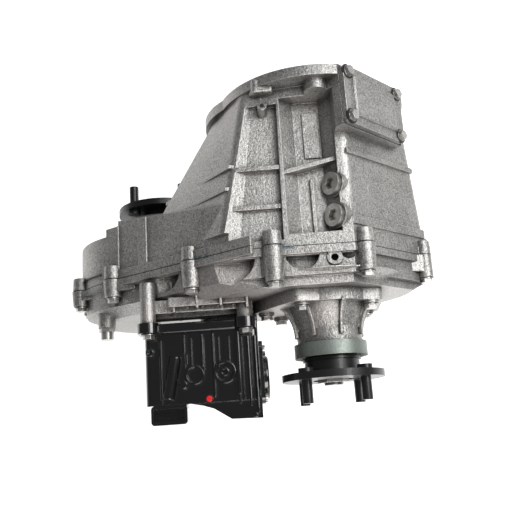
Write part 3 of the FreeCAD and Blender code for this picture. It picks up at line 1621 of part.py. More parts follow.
feature("front_case", make_front_case())
feature("rear_case", make_rear_case())
feature("extension_housing", make_extension())
feature("case_bolts", make_case_bolts())
feature("extension_bolts", make_extension_bolts())
feature("actuator_bolts", make_actuator_bolts())
feature("cover_plate", make_cover_plate())
feature("cover_gasket", make_cover_gasket())
feature("cover_bolts", make_cover_bolts())
feature("bearing_outer_rings", make_bearings("outer"))
feature("bearing_rollers", make_bearings("rollers"))
feature("ring_gear", make_ring_gear())
feature("input_shaft", make_input_shaft())
feature("planet_carrier", make_carrier())
feature("planet_pins", make_planet_pins())
for planet in range(planet_count):
    feature(f"planet_gear_{planet + 1}", make_planet(planet))
feature("drive_chain", make_chain())

range_sleeve_x = -size.rangeSleeveDepth
lock_sleeve_x = -size.lockSleeveDepth
chain_front = -size.chainDepth + size.chainWidth / 2
chain_back = -size.chainDepth - size.chainWidth / 2

rear_disc = nose - size.hubLength
front_disc = -size.frontHubDepth + 12
front_start = bearing_fronts["front_fore"]
fit = size.runningFit

turned("range_sleeve", sleeve_profile(range_sleeve_x))
turned("lock_sleeve", sleeve_profile(lock_sleeve_x))
turned("input_inner_ring", inner_ring_profile(bearing_fronts["input"]))
turned("rear_inner_ring", inner_ring_profile(bearing_fronts["rear"]))
turned(
    "front_inner_ring_fore", inner_ring_profile(bearing_fronts["front_fore"]), front_side, front_drop
)
turned(
    "front_inner_ring_aft", inner_ring_profile(bearing_fronts["front_aft"]), front_side, front_drop
)

# the centre differential's case: hubs for both sleeves and a flange between them
range_hub_back = range_sleeve_x + 6
lock_hub_back = chain_front + 9.5
turned(
    "centre_differential",
    [
        (range_hub_back - 0.5, output_radius), (range_hub_back - 0.5, size.hubRadius),
        (range_hub_back - 29, size.hubRadius), (range_hub_back - 29, size.hubRadius + 18),
        (range_hub_back - 38, size.hubRadius + 18), (range_hub_back - 38, size.hubRadius),
        (lock_hub_back, size.hubRadius), (lock_hub_back, output_radius),
    ],
)
sprocket = sprocket_shape(-float(size.chainDepth), turn=sprocket_phase)
sprocket = sprocket.fuse(rod(lock_hub_back - 0.5, chain_front - 1, size.hubRadius)).removeSplitter()
feature("drive_sprocket", sprocket.cut(rod(chain_front + 20, chain_back - 5, output_radius)))
sprocket = sprocket_shape(-float(size.chainDepth), float(front_side), float(front_drop), sprocket_phase)
feature("driven_sprocket", sprocket.cut(
    rod(chain_front + 20, chain_back - 5, output_radius + 4, front_side, front_drop)
))
rear_bearing = bearing_fronts["rear"]
turned(
    "rear_output_shaft",
    [
        (range_hub_back + 12, 0), (range_hub_back + 12, pilot_spigot),
        (range_hub_back - 0.5, pilot_spigot), (range_hub_back - 0.5, output_radius),
        (chain_back - 6, output_radius), (chain_back - 6, size.shaftRadius + 5),
        (rear_bearing, size.shaftRadius + 5), (rear_bearing, size.shaftRadius),
        (rear_face, size.shaftRadius), (rear_face, size.splineRadius),
        (rear_disc, size.splineRadius), (rear_disc, nut_thread),
        (rear_disc - 14, nut_thread), (rear_disc - 14, 0),
    ],
)
front_bearing = bearing_fronts["front_fore"]
front_aft = bearing_fronts["front_aft"]
turned(
    "front_output_shaft",
    [
        (front_disc + 14, 0), (front_disc + 14, nut_thread), (front_disc, nut_thread),
        (front_disc, size.splineRadius), (front_bearing, size.splineRadius),
        (front_bearing, size.shaftRadius), (front_bearing - size.bearingWidth, size.shaftRadius),
        (front_bearing - size.bearingWidth, output_radius + 4), (front_aft, output_radius + 4),
        (front_aft, size.shaftRadius), (front_aft - size.bearingWidth, size.shaftRadius),
        (front_aft - size.bearingWidth, 0),
    ],
    front_side,
    front_drop,
)
turned("rear_flange", flange_profile(nose + 4, rear_disc + 18, rear_disc, -1))
front_shoulder = -size.frontHubDepth + 2
turned(
    "front_flange", flange_profile(front_start, front_shoulder, front_disc, 1), front_side, front_drop
)
for name in ("rear_flange", "front_flange"):
    drilled(doc.getObject(name), size.knurlRadius, size.studCircle, 4, 45)
feature("rear_flange_studs", flange_studs(rear_disc, -1))
feature("front_flange_studs", flange_studs(front_disc, 1, front_side, front_drop))
feature("rear_flange_nut", nut(rear_disc - size.flangeThickness + 6, -1))
feature("front_flange_nut", nut(front_disc + size.flangeThickness - 6, 1, front_side, front_drop))
turned(
    "tone_wheel",
    [
        (rear_face, size.splineRadius), (rear_face, 23), (rear_face - 18, 23),
        (rear_face - 18, 27), (rear_face - 26, 27), (rear_face - 26, 23),
        (nose + 4, 23), (nose + 4, size.splineRadius),
    ],
)
turned(
    "dust_ring",
    [
        (nose, size.noseSleeveRadius), (nose, size.dustRingRadius),
        (nose - size.dustRingWidth, size.dustRingRadius),
        (nose - size.dustRingWidth, size.dustRingRadius - 4),
        (nose - size.dustRingWidth + 3, size.noseSleeveRadius),
    ],
)


def seal_profile(front, outer, inner, width=size.sealWidth):
    """Half section of an oil seal."""
    back = front - width
    return [
        (front, inner + 3), (front, outer), (back, outer), (back, inner + 3),
        (back + 2.5, inner + 3), (back + width / 2, inner), (front - 2.5, inner + 3),
    ]


turned("input_oil_seal", seal_profile(-size.pilotDepth - 1, size.sealRadius, size.inputRadius + fit))
turned("rear_oil_seal", seal_profile(nose - 1, size.rearSealRadius, size.sealLandRadius + fit))
turned(
    "front_oil_seal",
    seal_profile(-size.frontHubDepth, size.sealRadius, size.sealLandRadius + fit),
    front_side,
    front_drop,
)

rail_end = -345.0
feature("range_rail", make_rail(rail_places[0], rail_front, rail_end))
feature("lock_rail", make_rail(rail_places[1], -136, rail_end))
feature("range_fork", make_fork(rail_places[0], float(range_sleeve_x), groove_floor))
feature("lock_fork", make_fork(rail_places[1], float(lock_sleeve_x), groove_floor, rail_places[0]))
feature("range_pinion", make_pinion(rail_places[0], 17, 14))
feature("lock_pinion", make_pinion(rail_places[1], 12, 15))
feature("actuator_housing", make_actuator_housing())
feature("actuator_cover", make_actuator_cover())
feature("actuator_connector", make_connector())
feature("actuator_motor", make_motor())
feature("actuator_screws", make_actuator_screws())
feature("detent_plugs", make_detent_plugs())
feature("breather", make_breather())
feature("position_switch", make_position_switch())
feature("drain_plug", make_drain_plug())
feature("oil_strainer", make_strainer())

doc.recompute()
pieces = [
    piece for piece in doc.Objects
    if piece.isDerivedFrom("PartDesign::Body") or piece.TypeId == "Part::Feature"
]
for each in doc.Objects:
    if "Invalid" in each.State or "Error" in each.State:
        raise RuntimeError(f"{each.Label} is {each.State}")
for piece in pieces:
    if piece.Shape.isNull() or not piece.Shape.isValid():
        raise RuntimeError(f"{piece.Label} has no valid shape")

os.makedirs("parts", exist_ok=True)
for piece in pieces:
    piece.Shape.exportStep(f"parts/{piece.Label}.step")
    print(piece.Label, round(piece.Shape.Volume), piece.Shape.BoundBox)
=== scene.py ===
import json
import math
import bmesh
import bpy
from mathutils import Matrix, Vector


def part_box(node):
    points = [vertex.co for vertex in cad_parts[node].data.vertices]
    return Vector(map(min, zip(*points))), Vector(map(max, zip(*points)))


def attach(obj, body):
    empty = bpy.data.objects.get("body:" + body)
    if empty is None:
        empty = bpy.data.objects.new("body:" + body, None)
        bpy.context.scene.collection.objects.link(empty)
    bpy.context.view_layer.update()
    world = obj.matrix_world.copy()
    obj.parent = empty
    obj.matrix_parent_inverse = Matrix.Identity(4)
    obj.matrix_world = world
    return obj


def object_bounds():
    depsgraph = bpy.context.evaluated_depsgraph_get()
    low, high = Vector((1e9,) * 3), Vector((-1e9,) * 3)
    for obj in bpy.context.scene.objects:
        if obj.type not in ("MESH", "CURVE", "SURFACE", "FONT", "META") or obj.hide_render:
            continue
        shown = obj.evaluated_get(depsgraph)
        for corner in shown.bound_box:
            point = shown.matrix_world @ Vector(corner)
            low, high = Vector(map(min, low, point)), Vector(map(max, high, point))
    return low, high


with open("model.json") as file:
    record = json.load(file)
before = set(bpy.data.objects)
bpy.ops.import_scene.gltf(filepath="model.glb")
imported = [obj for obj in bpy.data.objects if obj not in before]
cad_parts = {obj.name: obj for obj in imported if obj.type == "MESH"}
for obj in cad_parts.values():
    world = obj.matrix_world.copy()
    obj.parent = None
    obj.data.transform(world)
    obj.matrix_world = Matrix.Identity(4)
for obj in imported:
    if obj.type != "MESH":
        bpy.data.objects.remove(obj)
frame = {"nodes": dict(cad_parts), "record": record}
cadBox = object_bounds()
low, high = cadBox
print("frame loaded")


# a shader socket that takes part in arithmetic
class Wire:
    def __init__(self, tree, socket):
        self.tree = tree
        self.socket = socket

    def node(self, kind, inputs, output=0, **settings):
        made = self.tree.nodes.new(kind)
        for name, value in settings.items():
            setattr(made, name, value)
        for name, value in inputs.items():
            if isinstance(value, Wire):
                self.tree.links.new(value.socket, made.inputs[name])
            else:
                made.inputs[name].default_value = value
        return Wire(self.tree, made.outputs[output])

    def maths(self, operation, first, second=0.0):
        return self.node("ShaderNodeMath", {0: first, 1: second}, operation=operation)

    def __add__(self, other):
        return self.maths("ADD", self, other)

    def __radd__(self, other):
        return self.maths("ADD", other, self)

    def __sub__(self, other):
        return self.maths("SUBTRACT", self, other)

    def __rsub__(self, other):
        return self.maths("SUBTRACT", other, self)

    def __mul__(self, other):
        return self.maths("MULTIPLY", self, other)

    def __rmul__(self, other):
        return self.maths("MULTIPLY", other, self)

    def __abs__(self):
        return self.maths("ABSOLUTE", self)

    def part(self, index):
        return self.node("ShaderNodeSeparateXYZ", {"Vector": self}, output=index)

    def noise(self, scale, detail, roughness):
        inputs = {"Vector": self, "Scale": scale, "Detail": detail, "Roughness": roughness}
        return self.node("ShaderNodeTexNoise", inputs)

    def remap(self, fromLow, fromHigh, toLow, toHigh):
        inputs = {"Value": self, "From Min": fromLow, "From Max": fromHigh,
                  "To Min": toLow, "To Max": toHigh}
        return self.node("ShaderNodeMapRange", inputs)

    # this socket is the share of the second colour
    def between(self, first, second):
        factor, colorA, colorB = 0, 6, 7
        inputs = {factor: self}
        for index, color in ((colorA, first), (colorB, second)):
            inputs[index] = color if isinstance(color, Wire) else (*color, 1.0)
        return self.node("ShaderNodeMix", inputs, output=2, data_type="RGBA")


def openMaterial(name):
    material = bpy.data.materials.new(name)
    material.use_nodes = True
    tree = material.node_tree
    shader = next(node for node in tree.nodes if node.type == "BSDF_PRINCIPLED")
    place = Wire(tree, tree.nodes.new("ShaderNodeTexCoord").outputs["Object"])
    return material, tree, shader, place


def plug(tree, shader, **inputs):
    names = {"color": "Base Color", "roughness": "Roughness", "metallic": "Metallic",
             "coat": "Coat Weight", "normal": "Normal"}
    for key, value in inputs.items():
        target = shader.inputs[names[key]]
        if isinstance(value, Wire):
            tree.links.new(value.socket, target)
        elif isinstance(value, tuple):
            target.default_value = (*value, 1.0)
        else:
            target.default_value = value


maskSettings = {"samples": 6, "facing": (0.995, 0.80, 0.0, 1.0), "openness": (0.30, 0.92, 1.0, 0.0)}


def roundedNormal(place, radius):
    return place.node("ShaderNodeBevel", {"Radius": radius}, samples=maskSettings["samples"])


# 1 on the edges, 0 on open faces; used to lighten edges, partly as wear and partly as a painted
# highlight
def edgeMask(place, soft):
    flat = place.node("ShaderNodeNewGeometry", {}, output=1)
    inputs = {0: soft, 1: flat}
    facing = place.node("ShaderNodeVectorMath", inputs, output=1, operation="DOT_PRODUCT")
    return facing.remap(*maskSettings["facing"])


# 1 in corners and seams, where the colour is darkened as painted shade
def cavityShadeMask(place, distance):
    openness = place.node("ShaderNodeAmbientOcclusion", {"Distance": distance}, output=1,
                          samples=maskSettings["samples"])
    return openness.remap(*maskSettings["openness"])


def bumpOf(height, strength, distance, soft):
    inputs = {"Height": height, "Strength": strength, "Distance": distance, "Normal": soft}
    return height.node("ShaderNodeBump", inputs)


# noises are scale, detail and roughness; spans are from low, from high, to low, to high
castSettings = {
    # the pale edge colour stands for rubbed wear and a painted highlight; the darkest colour is
    # painted shade in corners and also the dark seam line
    "light": (0.60, 0.595, 0.575), "dark": (0.21, 0.208, 0.200), "wornAndHighlit": (0.74, 0.73, 0.71),
    "warm": (0.55, 0.50, 0.49), "shadeAndSeamDark": (0.045, 0.043, 0.040), "smear": (0.05, 0.13, 0.16),
    "grain": (620.0, 2.0, 0.6), "skin": (248.0, 3.0, 0.6),
    "blotch": (16.0, 4.0, 0.6), "clouds": (7.2, 2.0, 0.5),
    "toneShares": (0.8, 0.25, 0.3), "toneSpan": (0.52, 0.84, 0.0, 1.0),
    "warmSpan": (0.52, 0.70, 0.0, 0.55), "wornSpan": (0.35, 0.60, 0.35, 0.9),
    "edge": 0.0012, "cavity": 0.014, "cavityShare": 0.85,
    "metallic": 0.86, "roughSpan": (0.3, 0.7, 0.34, 0.54), "wornShine": 0.10,
    "reliefShares": (0.55, 0.8), "bump": 0.6, "bumpDepth": 0.0014,
    "joint": -0.2, "seamSpan": (0.0003, 0.0008, 0.9, 0.0),
    "smearPlaces": (0.046, 0.142), "smearNoise": (260.0, 2.0, 0.6),
    "smearPatches": (0.42, 0.56, 0.0, 0.85), "smearLength": (0.006, 0.014, 1.0, 0.0),
    "smearWidth": (0.0015, 0.0045, 1.0, 0.0),
}


# sealant left at the joint, in two places near the top
def smearMask(place, fromJoint, settings):
    left, right = (abs(place.part(1) - spot).remap(*settings["smearLength"])
                   for spot in settings["smearPlaces"])
    patches = place.noise(*settings["smearNoise"]).remap(*settings["smearPatches"])
    return fromJoint.remap(*settings["smearWidth"]) * ((left + right) * patches)


# sand-cast skin: fine grain, broad clouds, warm patches, edges lightened as rubbed wear and painted
# highlight, and painted shade in corners
def castAluminium(name, settings):
    material, tree, shader, place = openMaterial(name)
    grain = place.noise(*settings["grain"])
    skin = place.noise(*settings["skin"])
    blotch = place.noise(*settings["blotch"])
    grainShare, skinShare, blotchShare = settings["toneShares"]
    tone = grain * grainShare + skin * skinShare + blotch * blotchShare
    color = tone.remap(*settings["toneSpan"]).between(settings["dark"], settings["light"])
    warmth = place.noise(*settings["clouds"]).remap(*settings["warmSpan"])
    color = warmth.between(color, settings["warm"])
    soft = roundedNormal(place, settings["edge"])
    # edges lightened towards the pale colour: partly rubbed wear, partly a painted highlight
    wornAndHighlit = edgeMask(place, soft) * skin.remap(*settings["wornSpan"])
    color = wornAndHighlit.between(color, settings["wornAndHighlit"])
    fromJoint = abs(place.part(0) - settings["joint"])
    color = smearMask(place, fromJoint, settings).between(color, settings["smear"])
    color = fromJoint.remap(*settings["seamSpan"]).between(color, settings["shadeAndSeamDark"])
    # painted shade: corners and creases are darkened towards the darkest colour
    cavity = cavityShadeMask(place, settings["cavity"]) * settings["cavityShare"]
    color = cavity.between(color, settings["shadeAndSeamDark"])
    roughness = (grain * 0.5 + blotch * 0.5).remap(*settings["roughSpan"])
    grainDepth, skinDepth = settings["reliefShares"]
    relief = grain * grainDepth + skin * skinDepth
    plug(tree, shader, color=color, roughness=roughness - wornAndHighlit * settings["wornShine"],
         metallic=settings["metallic"],
         normal=bumpOf(relief, settings["bump"], settings["bumpDepth"], soft))
    return material


plainSettings = {
    # the darkest colour is painted shade in corners
    "edge": 0.0006, "cavity": 0.004, "cavityShare": 0.8, "shadeAndSeamDark": (0.02, 0.02, 0.02), "coat": 0.0,
    "fineDetail": (3.0, 0.55), "broadDetail": (3.0, 0.5), "broadShare": 0.08,
    "mixSpan": (0.32, 0.68, 0.0, 1.0), "wornSpan": (0.4, 0.6, 0.1, 0.8), "bumpDepth": 0.0003,
}


# turned, plated, painted and moulded surfaces, with edges lightened as wear and painted highlight,
# and painted shade in corners
def plainMaterial(name, changes):
    settings = {**plainSettings, **changes}
    material, tree, shader, place = openMaterial(name)
    fine = place.noise(settings["scale"], *settings["fineDetail"])
    broad = place.noise(settings["scale"] * settings["broadShare"], *settings["broadDetail"])
    mixed = (fine * 0.5 + broad * 0.5).remap(*settings["mixSpan"])
    color = mixed.between(settings["dark"], settings["light"])
    soft = roundedNormal(place, settings["edge"])
    # edges lightened towards the pale colour: partly wear, partly a painted highlight
    wornAndHighlit = edgeMask(place, soft) * broad.remap(*settings["wornSpan"])
    color = wornAndHighlit.between(color, settings["wornAndHighlit"])
    # painted shade: corners and creases are darkened towards the darkest colour
    cavity = cavityShadeMask(place, settings["cavity"]) * settings["cavityShare"]
    color = cavity.between(color, settings["shadeAndSeamDark"])
    plug(tree, shader, color=color, metallic=settings["metallic"], coat=settings["coat"],
         roughness=mixed.remap(0.0, 1.0, settings["rough"], settings["smooth"]),
         normal=bumpOf(fine, settings["bump"], settings["bumpDepth"], soft))
    return material


# each lighter edge colour below stands for edge wear and a painted highlight
zincSettings = {"light": (0.74, 0.73, 0.70), "wornAndHighlit": (0.85, 0.84, 0.81),
                "dark": (0.42, 0.415, 0.40), "scale": 300.0, "rough": 0.42, "smooth": 0.26,
                "metallic": 0.95, "bump": 0.15}
gearSettings = {"light": (0.46, 0.46, 0.47), "wornAndHighlit": (0.6, 0.6, 0.6), "dark": (0.28, 0.28, 0.29),
                "scale": 260.0, "rough": 0.38, "smooth": 0.24, "metallic": 1.0, "bump": 0.1}
phosphateSettings = {"light": (0.31, 0.34, 0.31), "wornAndHighlit": (0.48, 0.50, 0.48),
                     "dark": (0.18, 0.21, 0.19), "scale": 420.0, "rough": 0.55, "smooth": 0.42,
                     "metallic": 0.75, "bump": 0.25}
blackSettings = {"light": (0.012, 0.012, 0.013), "wornAndHighlit": (0.040, 0.040, 0.040),
                 "dark": (0.005, 0.005, 0.006), "scale": 350.0, "rough": 0.42, "smooth": 0.28,
                 "metallic": 0.1, "bump": 0.15, "coat": 0.15}
plasticSettings = {"light": (0.005, 0.005, 0.006), "wornAndHighlit": (0.022, 0.022, 0.024),
                   "dark": (0.002, 0.002, 0.003), "scale": 500.0, "rough": 0.22, "smooth": 0.09,
                   "metallic": 0.0, "bump": 0.08, "coat": 0.8, "edge": 0.0012}
rubberSettings = {"light": (0.030, 0.030, 0.030), "wornAndHighlit": (0.05, 0.05, 0.05),
                  "dark": (0.015, 0.015, 0.015), "scale": 500.0, "rough": 0.8, "smooth": 0.65,
                  "metallic": 0.0, "bump": 0.2}
gasketSettings = {"light": (0.10, 0.12, 0.12), "wornAndHighlit": (0.15, 0.16, 0.16),
                  "dark": (0.05, 0.06, 0.06), "scale": 600.0, "rough": 0.9, "smooth": 0.75,
                  "metallic": 0.0, "bump": 0.3}

finishes = {
    "cast_aluminium": castAluminium("castAluminium", castSettings),
    "zinc_steel": plainMaterial("zincSteel", zincSettings),
    "gear_steel": plainMaterial("gearSteel", gearSettings),
    "phosphate_steel": plainMaterial("phosphateSteel", phosphateSettings),
    "black_steel": plainMaterial("blackSteel", blackSettings),
    "black_plastic": plainMaterial("blackPlastic", plasticSettings),
    "seal_rubber": plainMaterial("sealRubber", rubberSettings),
    "gasket_fibre": plainMaterial("gasketFibre", gasketSettings),
}
for subpart in frame["record"]["subparts"]:
    for slot in frame["nodes"][subpart["node"]].material_slots:
        slot.material = finishes[subpart["material_slot"]]
print("finishes assigned")


def makePiece(name, shape, slot, bevel=0.0, material=None):
    bmesh.ops.recalc_face_normals(shape, faces=shape.faces)
    mesh = bpy.data.meshes.new(name)
    shape.to_mesh(mesh)
    shape.free()
    piece = bpy.data.objects.new(name, mesh)
    bpy.context.scene.collection.objects.link(piece)
    mesh.materials.append(material or finishes[slot])
    if bevel:
        soften = piece.modifiers.new("soften", "BEVEL")
        soften.width = bevel
        soften.segments = 3
        soften.limit_method = "ANGLE"
    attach(piece, "case")


def addBlock(shape, outline, shift):
    face = shape.faces.new([shape.verts.new(corner) for corner in outline])
    grown = bmesh.ops.extrude_face_region(shape, geom=[face])["geom"]
    moved = [item for item in grown if isinstance(item, bmesh.types.BMVert)]
    bmesh.ops.translate(shape, verts=moved, vec=shift)


# a level rectangle raised by tall
def addSlab(shape, front, back, right, left, base, tall):
    outline = [(front, right, base), (back, right, base), (back, left, base), (front, left, base)]
    addBlock(shape, outline, (0.0, 0.0, tall))


# an outline of (y, z) corners that runs along X
def addBeam(shape, corners, front, back):
    addBlock(shape, [(front, y, z) for y, z in corners], (back - front, 0.0, 0.0))


def addRod(shape, start, end, radius, endRadius=None):
    start, end = Vector(start), Vector(end)
    turn = (end - start).to_track_quat("Z", "Y").to_matrix().to_4x4()
    bmesh.ops.create_cone(shape, cap_ends=True, segments=40, radius1=radius,
                          radius2=radius if endRadius is None else endRadius,
                          depth=(end - start).length,
                          matrix=Matrix.Translation((start + end) / 2) @ turn)


# each bolt of a node as (y, z, lowest x), found by what lies close together
def boltPlaces(node):
    sameBolt = 0.02
    groups = []
    for vertex in frame["nodes"][node].data.vertices:
        spot = vertex.co
        for group in groups:
            if math.hypot(spot.y - group[0].y, spot.z - group[0].z) < sameBolt:
                group.append(spot)
                break
        else:
            groups.append([spot])
    places = []
    for group in groups:
        ys = [spot.y for spot in group]
        zs = [spot.z for spot in group]
        places.append(((min(ys) + max(ys)) / 2, (min(zs) + max(zs)) / 2,
                       min(spot.x for spot in group)))
    return places


# the most that a round piece can reach about this axis inside the solids' box
def roomRound(y, z):
    return min(y - low[1], high[1] - y, z - low[2])


# thick cast lobes that carry the bolts behind the joint of the two halves
lobeSettings = {"split": -0.2, "heart": (0.09, -0.055), "root": 0.0118, "tip": 0.0102,
                "head": 0.0065, "shortest": 0.012, "rootOverlap": 0.0004,
                "halfWidth": 0.0085, "spread": 0.021, "depth": 0.026, "webOverlap": 0.0005,
                "webEnd": 0.007, "lobeBevel": 0.0006,
                "lugRadius": 0.0108, "lugTaper": 0.94, "lugStart": 0.0008, "lugLength": 0.017,
                "lugBevel": 0.0005}
split = lobeSettings["split"]
for index, (y, z, back) in enumerate(boltPlaces("case_bolts")):
    room = roomRound(y, z)
    seat = back + lobeSettings["head"]
    if split - seat < lobeSettings["shortest"]:
        continue
    lobe = bmesh.new()
    addRod(lobe, (split + lobeSettings["rootOverlap"], y, z), (seat, y, z),
           min(lobeSettings["root"], room), min(lobeSettings["tip"], room))
    spot = Vector((y, z))
    inward = (Vector(lobeSettings["heart"]) - spot).normalized()
    across = Vector((-inward.y, inward.x))
    near = across * lobeSettings["halfWidth"]
    far = across * lobeSettings["spread"]
    deep = spot + inward * lobeSettings["depth"]
    webFront = split - lobeSettings["webOverlap"]
    webBack = webFront + seat - split + lobeSettings["webEnd"]
    addBeam(lobe, [spot - near, spot + near, deep + far, deep - far], webFront, webBack)
    makePiece(f"boltLobe{index}", lobe, "cast_aluminium", lobeSettings["lobeBevel"])
    lug = bmesh.new()
    wide = min(lobeSettings["lugRadius"], room)
    addRod(lug, (split + lobeSettings["lugStart"], y, z), (split + lobeSettings["lugLength"], y, z),
           wide, wide * lobeSettings["lugTaper"])
    makePiece(f"frontLug{index}", lug, "cast_aluminium", lobeSettings["lugBevel"])
print("bolt lobes ready")

# dark washers under the heads, along X and on the slanted cover
washerSettings = {"head": 0.0060, "above": 0.0006, "below": 0.0010, "radius": 0.0088,
                  "crown": 0.0002, "straight": ("case_bolts", "extension_bolts", "actuator_bolts"),
                  "slanted": "cover_bolts", "lean": (0.0, -0.7071, 0.7071)}
washers = bmesh.new()
for node in washerSettings["straight"]:
    for y, z, back in boltPlaces(node):
        seat = back + washerSettings["head"]
        addRod(washers, (seat - washerSettings["above"], y, z),
               (seat + washerSettings["below"], y, z),
               min(washerSettings["radius"], roomRound(y, z)))
outwards = Vector(washerSettings["lean"])
lowCorner, highCorner = (Vector(corner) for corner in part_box(washerSettings["slanted"]))
centre = (lowCorner + highCorner) / 2
slantedBolts = {}
for vertex in frame["nodes"][washerSettings["slanted"]].data.vertices:
    spot = vertex.co
    quarter = (spot.x > centre.x, spot.y + spot.z > centre.y + centre.z)
    slantedBolts.setdefault(quarter, []).append(spot)
for spots in slantedBolts.values():
    peak = max(spot.dot(outwards) for spot in spots)
    crown = [spot for spot in spots if peak - spot.dot(outwards) < washerSettings["crown"]]
    seat = sum(crown, Vector()) / len(crown) - outwards * washerSettings["head"]
    addRod(washers, seat - outwards * washerSettings["below"],
           seat + outwards * washerSettings["above"], washerSettings["radius"])
makePiece("boltWashers", washers, "black_steel")

# the raised flange round the joint of the two halves
flangeSettings = {"main": 0.130, "offset": 0.110, "proud": 0.0034, "mainProud": 0.0008,
                  "sunk": 0.003, "front": -0.1885, "back": -0.2088, "start": 0.012,
                  "offsetSteps": 28, "mainSteps": 12, "mainStep": 6.0, "weld": 0.00005,
                  "bevel": 0.0011}
shaftLow, shaftHigh = (Vector(corner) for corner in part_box("front_output_shaft"))
offsetAxis = ((shaftLow + shaftHigh) / 2).yz
bearing = math.atan2(offsetAxis.y, offsetAxis.x)
lean = math.acos((flangeSettings["main"] - flangeSettings["offset"]) / offsetAxis.length)
upper, lower = bearing + lean, bearing - lean


def pointing(angle):
    return Vector((math.cos(angle), math.sin(angle)))


wallNormal = pointing(upper)
wallAlong = Vector((wallNormal.y, -wallNormal.x))


# down the left wall, round the offset side and back below the main axis
def hullPath(mainRadius, offsetRadius):
    path = [wallNormal * mainRadius + wallAlong * flangeSettings["start"]]
    steps = flangeSettings["offsetSteps"]
    for step in range(steps + 1):
        angle = upper + (lower - upper) * step / steps
        path.append(offsetAxis + pointing(angle) * offsetRadius)
    for step in range(flangeSettings["mainSteps"]):
        angle = lower - math.radians(flangeSettings["mainStep"] * step)
        path.append(pointing(angle) * mainRadius)
    return path


def runsAlongX(edge):
    return abs(edge.verts[0].co.x - edge.verts[1].co.x) > 0.01


outer = hullPath(flangeSettings["main"] + flangeSettings["mainProud"],
                 flangeSettings["offset"] + flangeSettings["proud"])
inner = hullPath(flangeSettings["main"] - flangeSettings["sunk"],
                 flangeSettings["offset"] - flangeSettings["sunk"])
joint = bmesh.new()
for index in range(len(outer) - 1):
    corners = [outer[index], outer[index + 1], inner[index + 1], inner[index]]
    addBeam(joint, corners, flangeSettings["front"], flangeSettings["back"])
bmesh.ops.remove_doubles(joint, verts=joint.verts, dist=flangeSettings["weld"])
# the walls between neighbouring blocks go
walls = [face for face in joint.faces if abs(face.normal.x) < 0.1
         and all(len(edge.link_faces) > 2 for edge in face.edges if runsAlongX(edge))]
bmesh.ops.delete(joint, geom=walls, context="FACES")
makePiece("jointFlange", joint, "cast_aluminium", flangeSettings["bevel"])

# a broad band and a thin bead on the left wall
beadSettings = {"sunk": 0.003, "bevel": 0.0012, "pieces": {
    "wallBand": {"along": 0.1715, "width": 0.015, "tall": 0.0026,
                 "front": -0.131, "back": -0.1895},
    "wallBead": {"along": 0.2135, "width": 0.0028, "tall": 0.0022,
                 "front": -0.1315, "back": -0.1885},
}}
for name, size in beadSettings["pieces"].items():
    bead = bmesh.new()
    base = (wallNormal * (flangeSettings["main"] - beadSettings["sunk"])
            + wallAlong * (size["along"] - size["width"] / 2))
    wide = wallAlong * size["width"]
    rise = wallNormal * (size["tall"] + beadSettings["sunk"])
    addBeam(bead, [base, base + wide, base + wide + rise, base + rise], size["front"], size["back"])
    makePiece(name, bead, "cast_aluminium", beadSettings["bevel"])

# the block on the rim beside the wide recess
rimSettings = {"front": -0.0008, "back": -0.0185, "bevel": 0.0032,
               "corners": [(0.0475, 0.080), (0.0765, 0.080), (0.0705, 0.0965), (0.0475, 0.0965)]}
rim = bmesh.new()
addBeam(rim, rimSettings["corners"], rimSettings["front"], rimSettings["back"])
makePiece("rimBlock", rim, "cast_aluminium", rimSettings["bevel"])

# stiffening webs on the back of the rear half, above the actuator
webSettings = {"front": -0.236, "thick": 0.0034, "drop": 0.006, "foot": -0.05, "bevel": 0.0010,
               "levels": [  # height, right, left, back
                   (0.030, 0.095, 0.185, -0.2475), (0.016, 0.088, 0.205, -0.2520),
                   (0.001, 0.088, 0.214, -0.2560), (-0.016, 0.100, 0.214, -0.2560)],
               "uprights": [  # side, height, back
                   (0.092, 0.036, -0.2530), (0.122, 0.040, -0.2500), (0.150, 0.034, -0.2500),
                   (0.178, 0.026, -0.2520), (0.206, 0.016, -0.2560)]}
webs = bmesh.new()
front, foot = webSettings["front"], webSettings["foot"]
for level, right, left, back in webSettings["levels"]:
    addSlab(webs, front, back, right, left, level, -webSettings["thick"])
for y, peak, back in webSettings["uprights"]:
    outline = [(front, y, peak), (back, y, peak - webSettings["drop"]),
               (back, y, foot), (front, y, foot)]
    addBlock(webs, outline, (0.0, webSettings["thick"], 0.0))
makePiece("rearWebs", webs, "cast_aluminium", webSettings["bevel"])

# flared webs round the extension
flareSettings = {"count": 8, "first": 15.0, "thick": 0.0044, "front": -0.2530, "back": -0.2925,
                 "tall": 0.0600, "low": 0.0425, "core": 0.0380, "steps": 9, "power": 2.3,
                 "bevel": 0.0011}
flare = bmesh.new()
front, back, core = flareSettings["front"], flareSettings["back"], flareSettings["core"]
curve = []
for step in range(flareSettings["steps"] + 1):
    share = step / flareSettings["steps"]
    rise = (flareSettings["tall"] - flareSettings["low"]) * (1.0 - share) ** flareSettings["power"]
    curve.append((front + (back - front) * share, flareSettings["low"] + rise))
curve += [(back, core), (front, core)]
for index in range(flareSettings["count"]):
    turn = flareSettings["first"] + 360.0 * index / flareSettings["count"]
    outward = pointing(math.radians(turn))
    side = Vector((-outward.y, outward.x)) * flareSettings["thick"] / 2
    outline = [(x, outward.x * reach - side.x, outward.y * reach - side.y) for x, reach in curve]
    addBlock(flare, outline, (0.0, side.x * 2, side.y * 2))
makePiece("extensionWebs", flare, "cast_aluminium", flareSettings["bevel"])
print("case details ready")

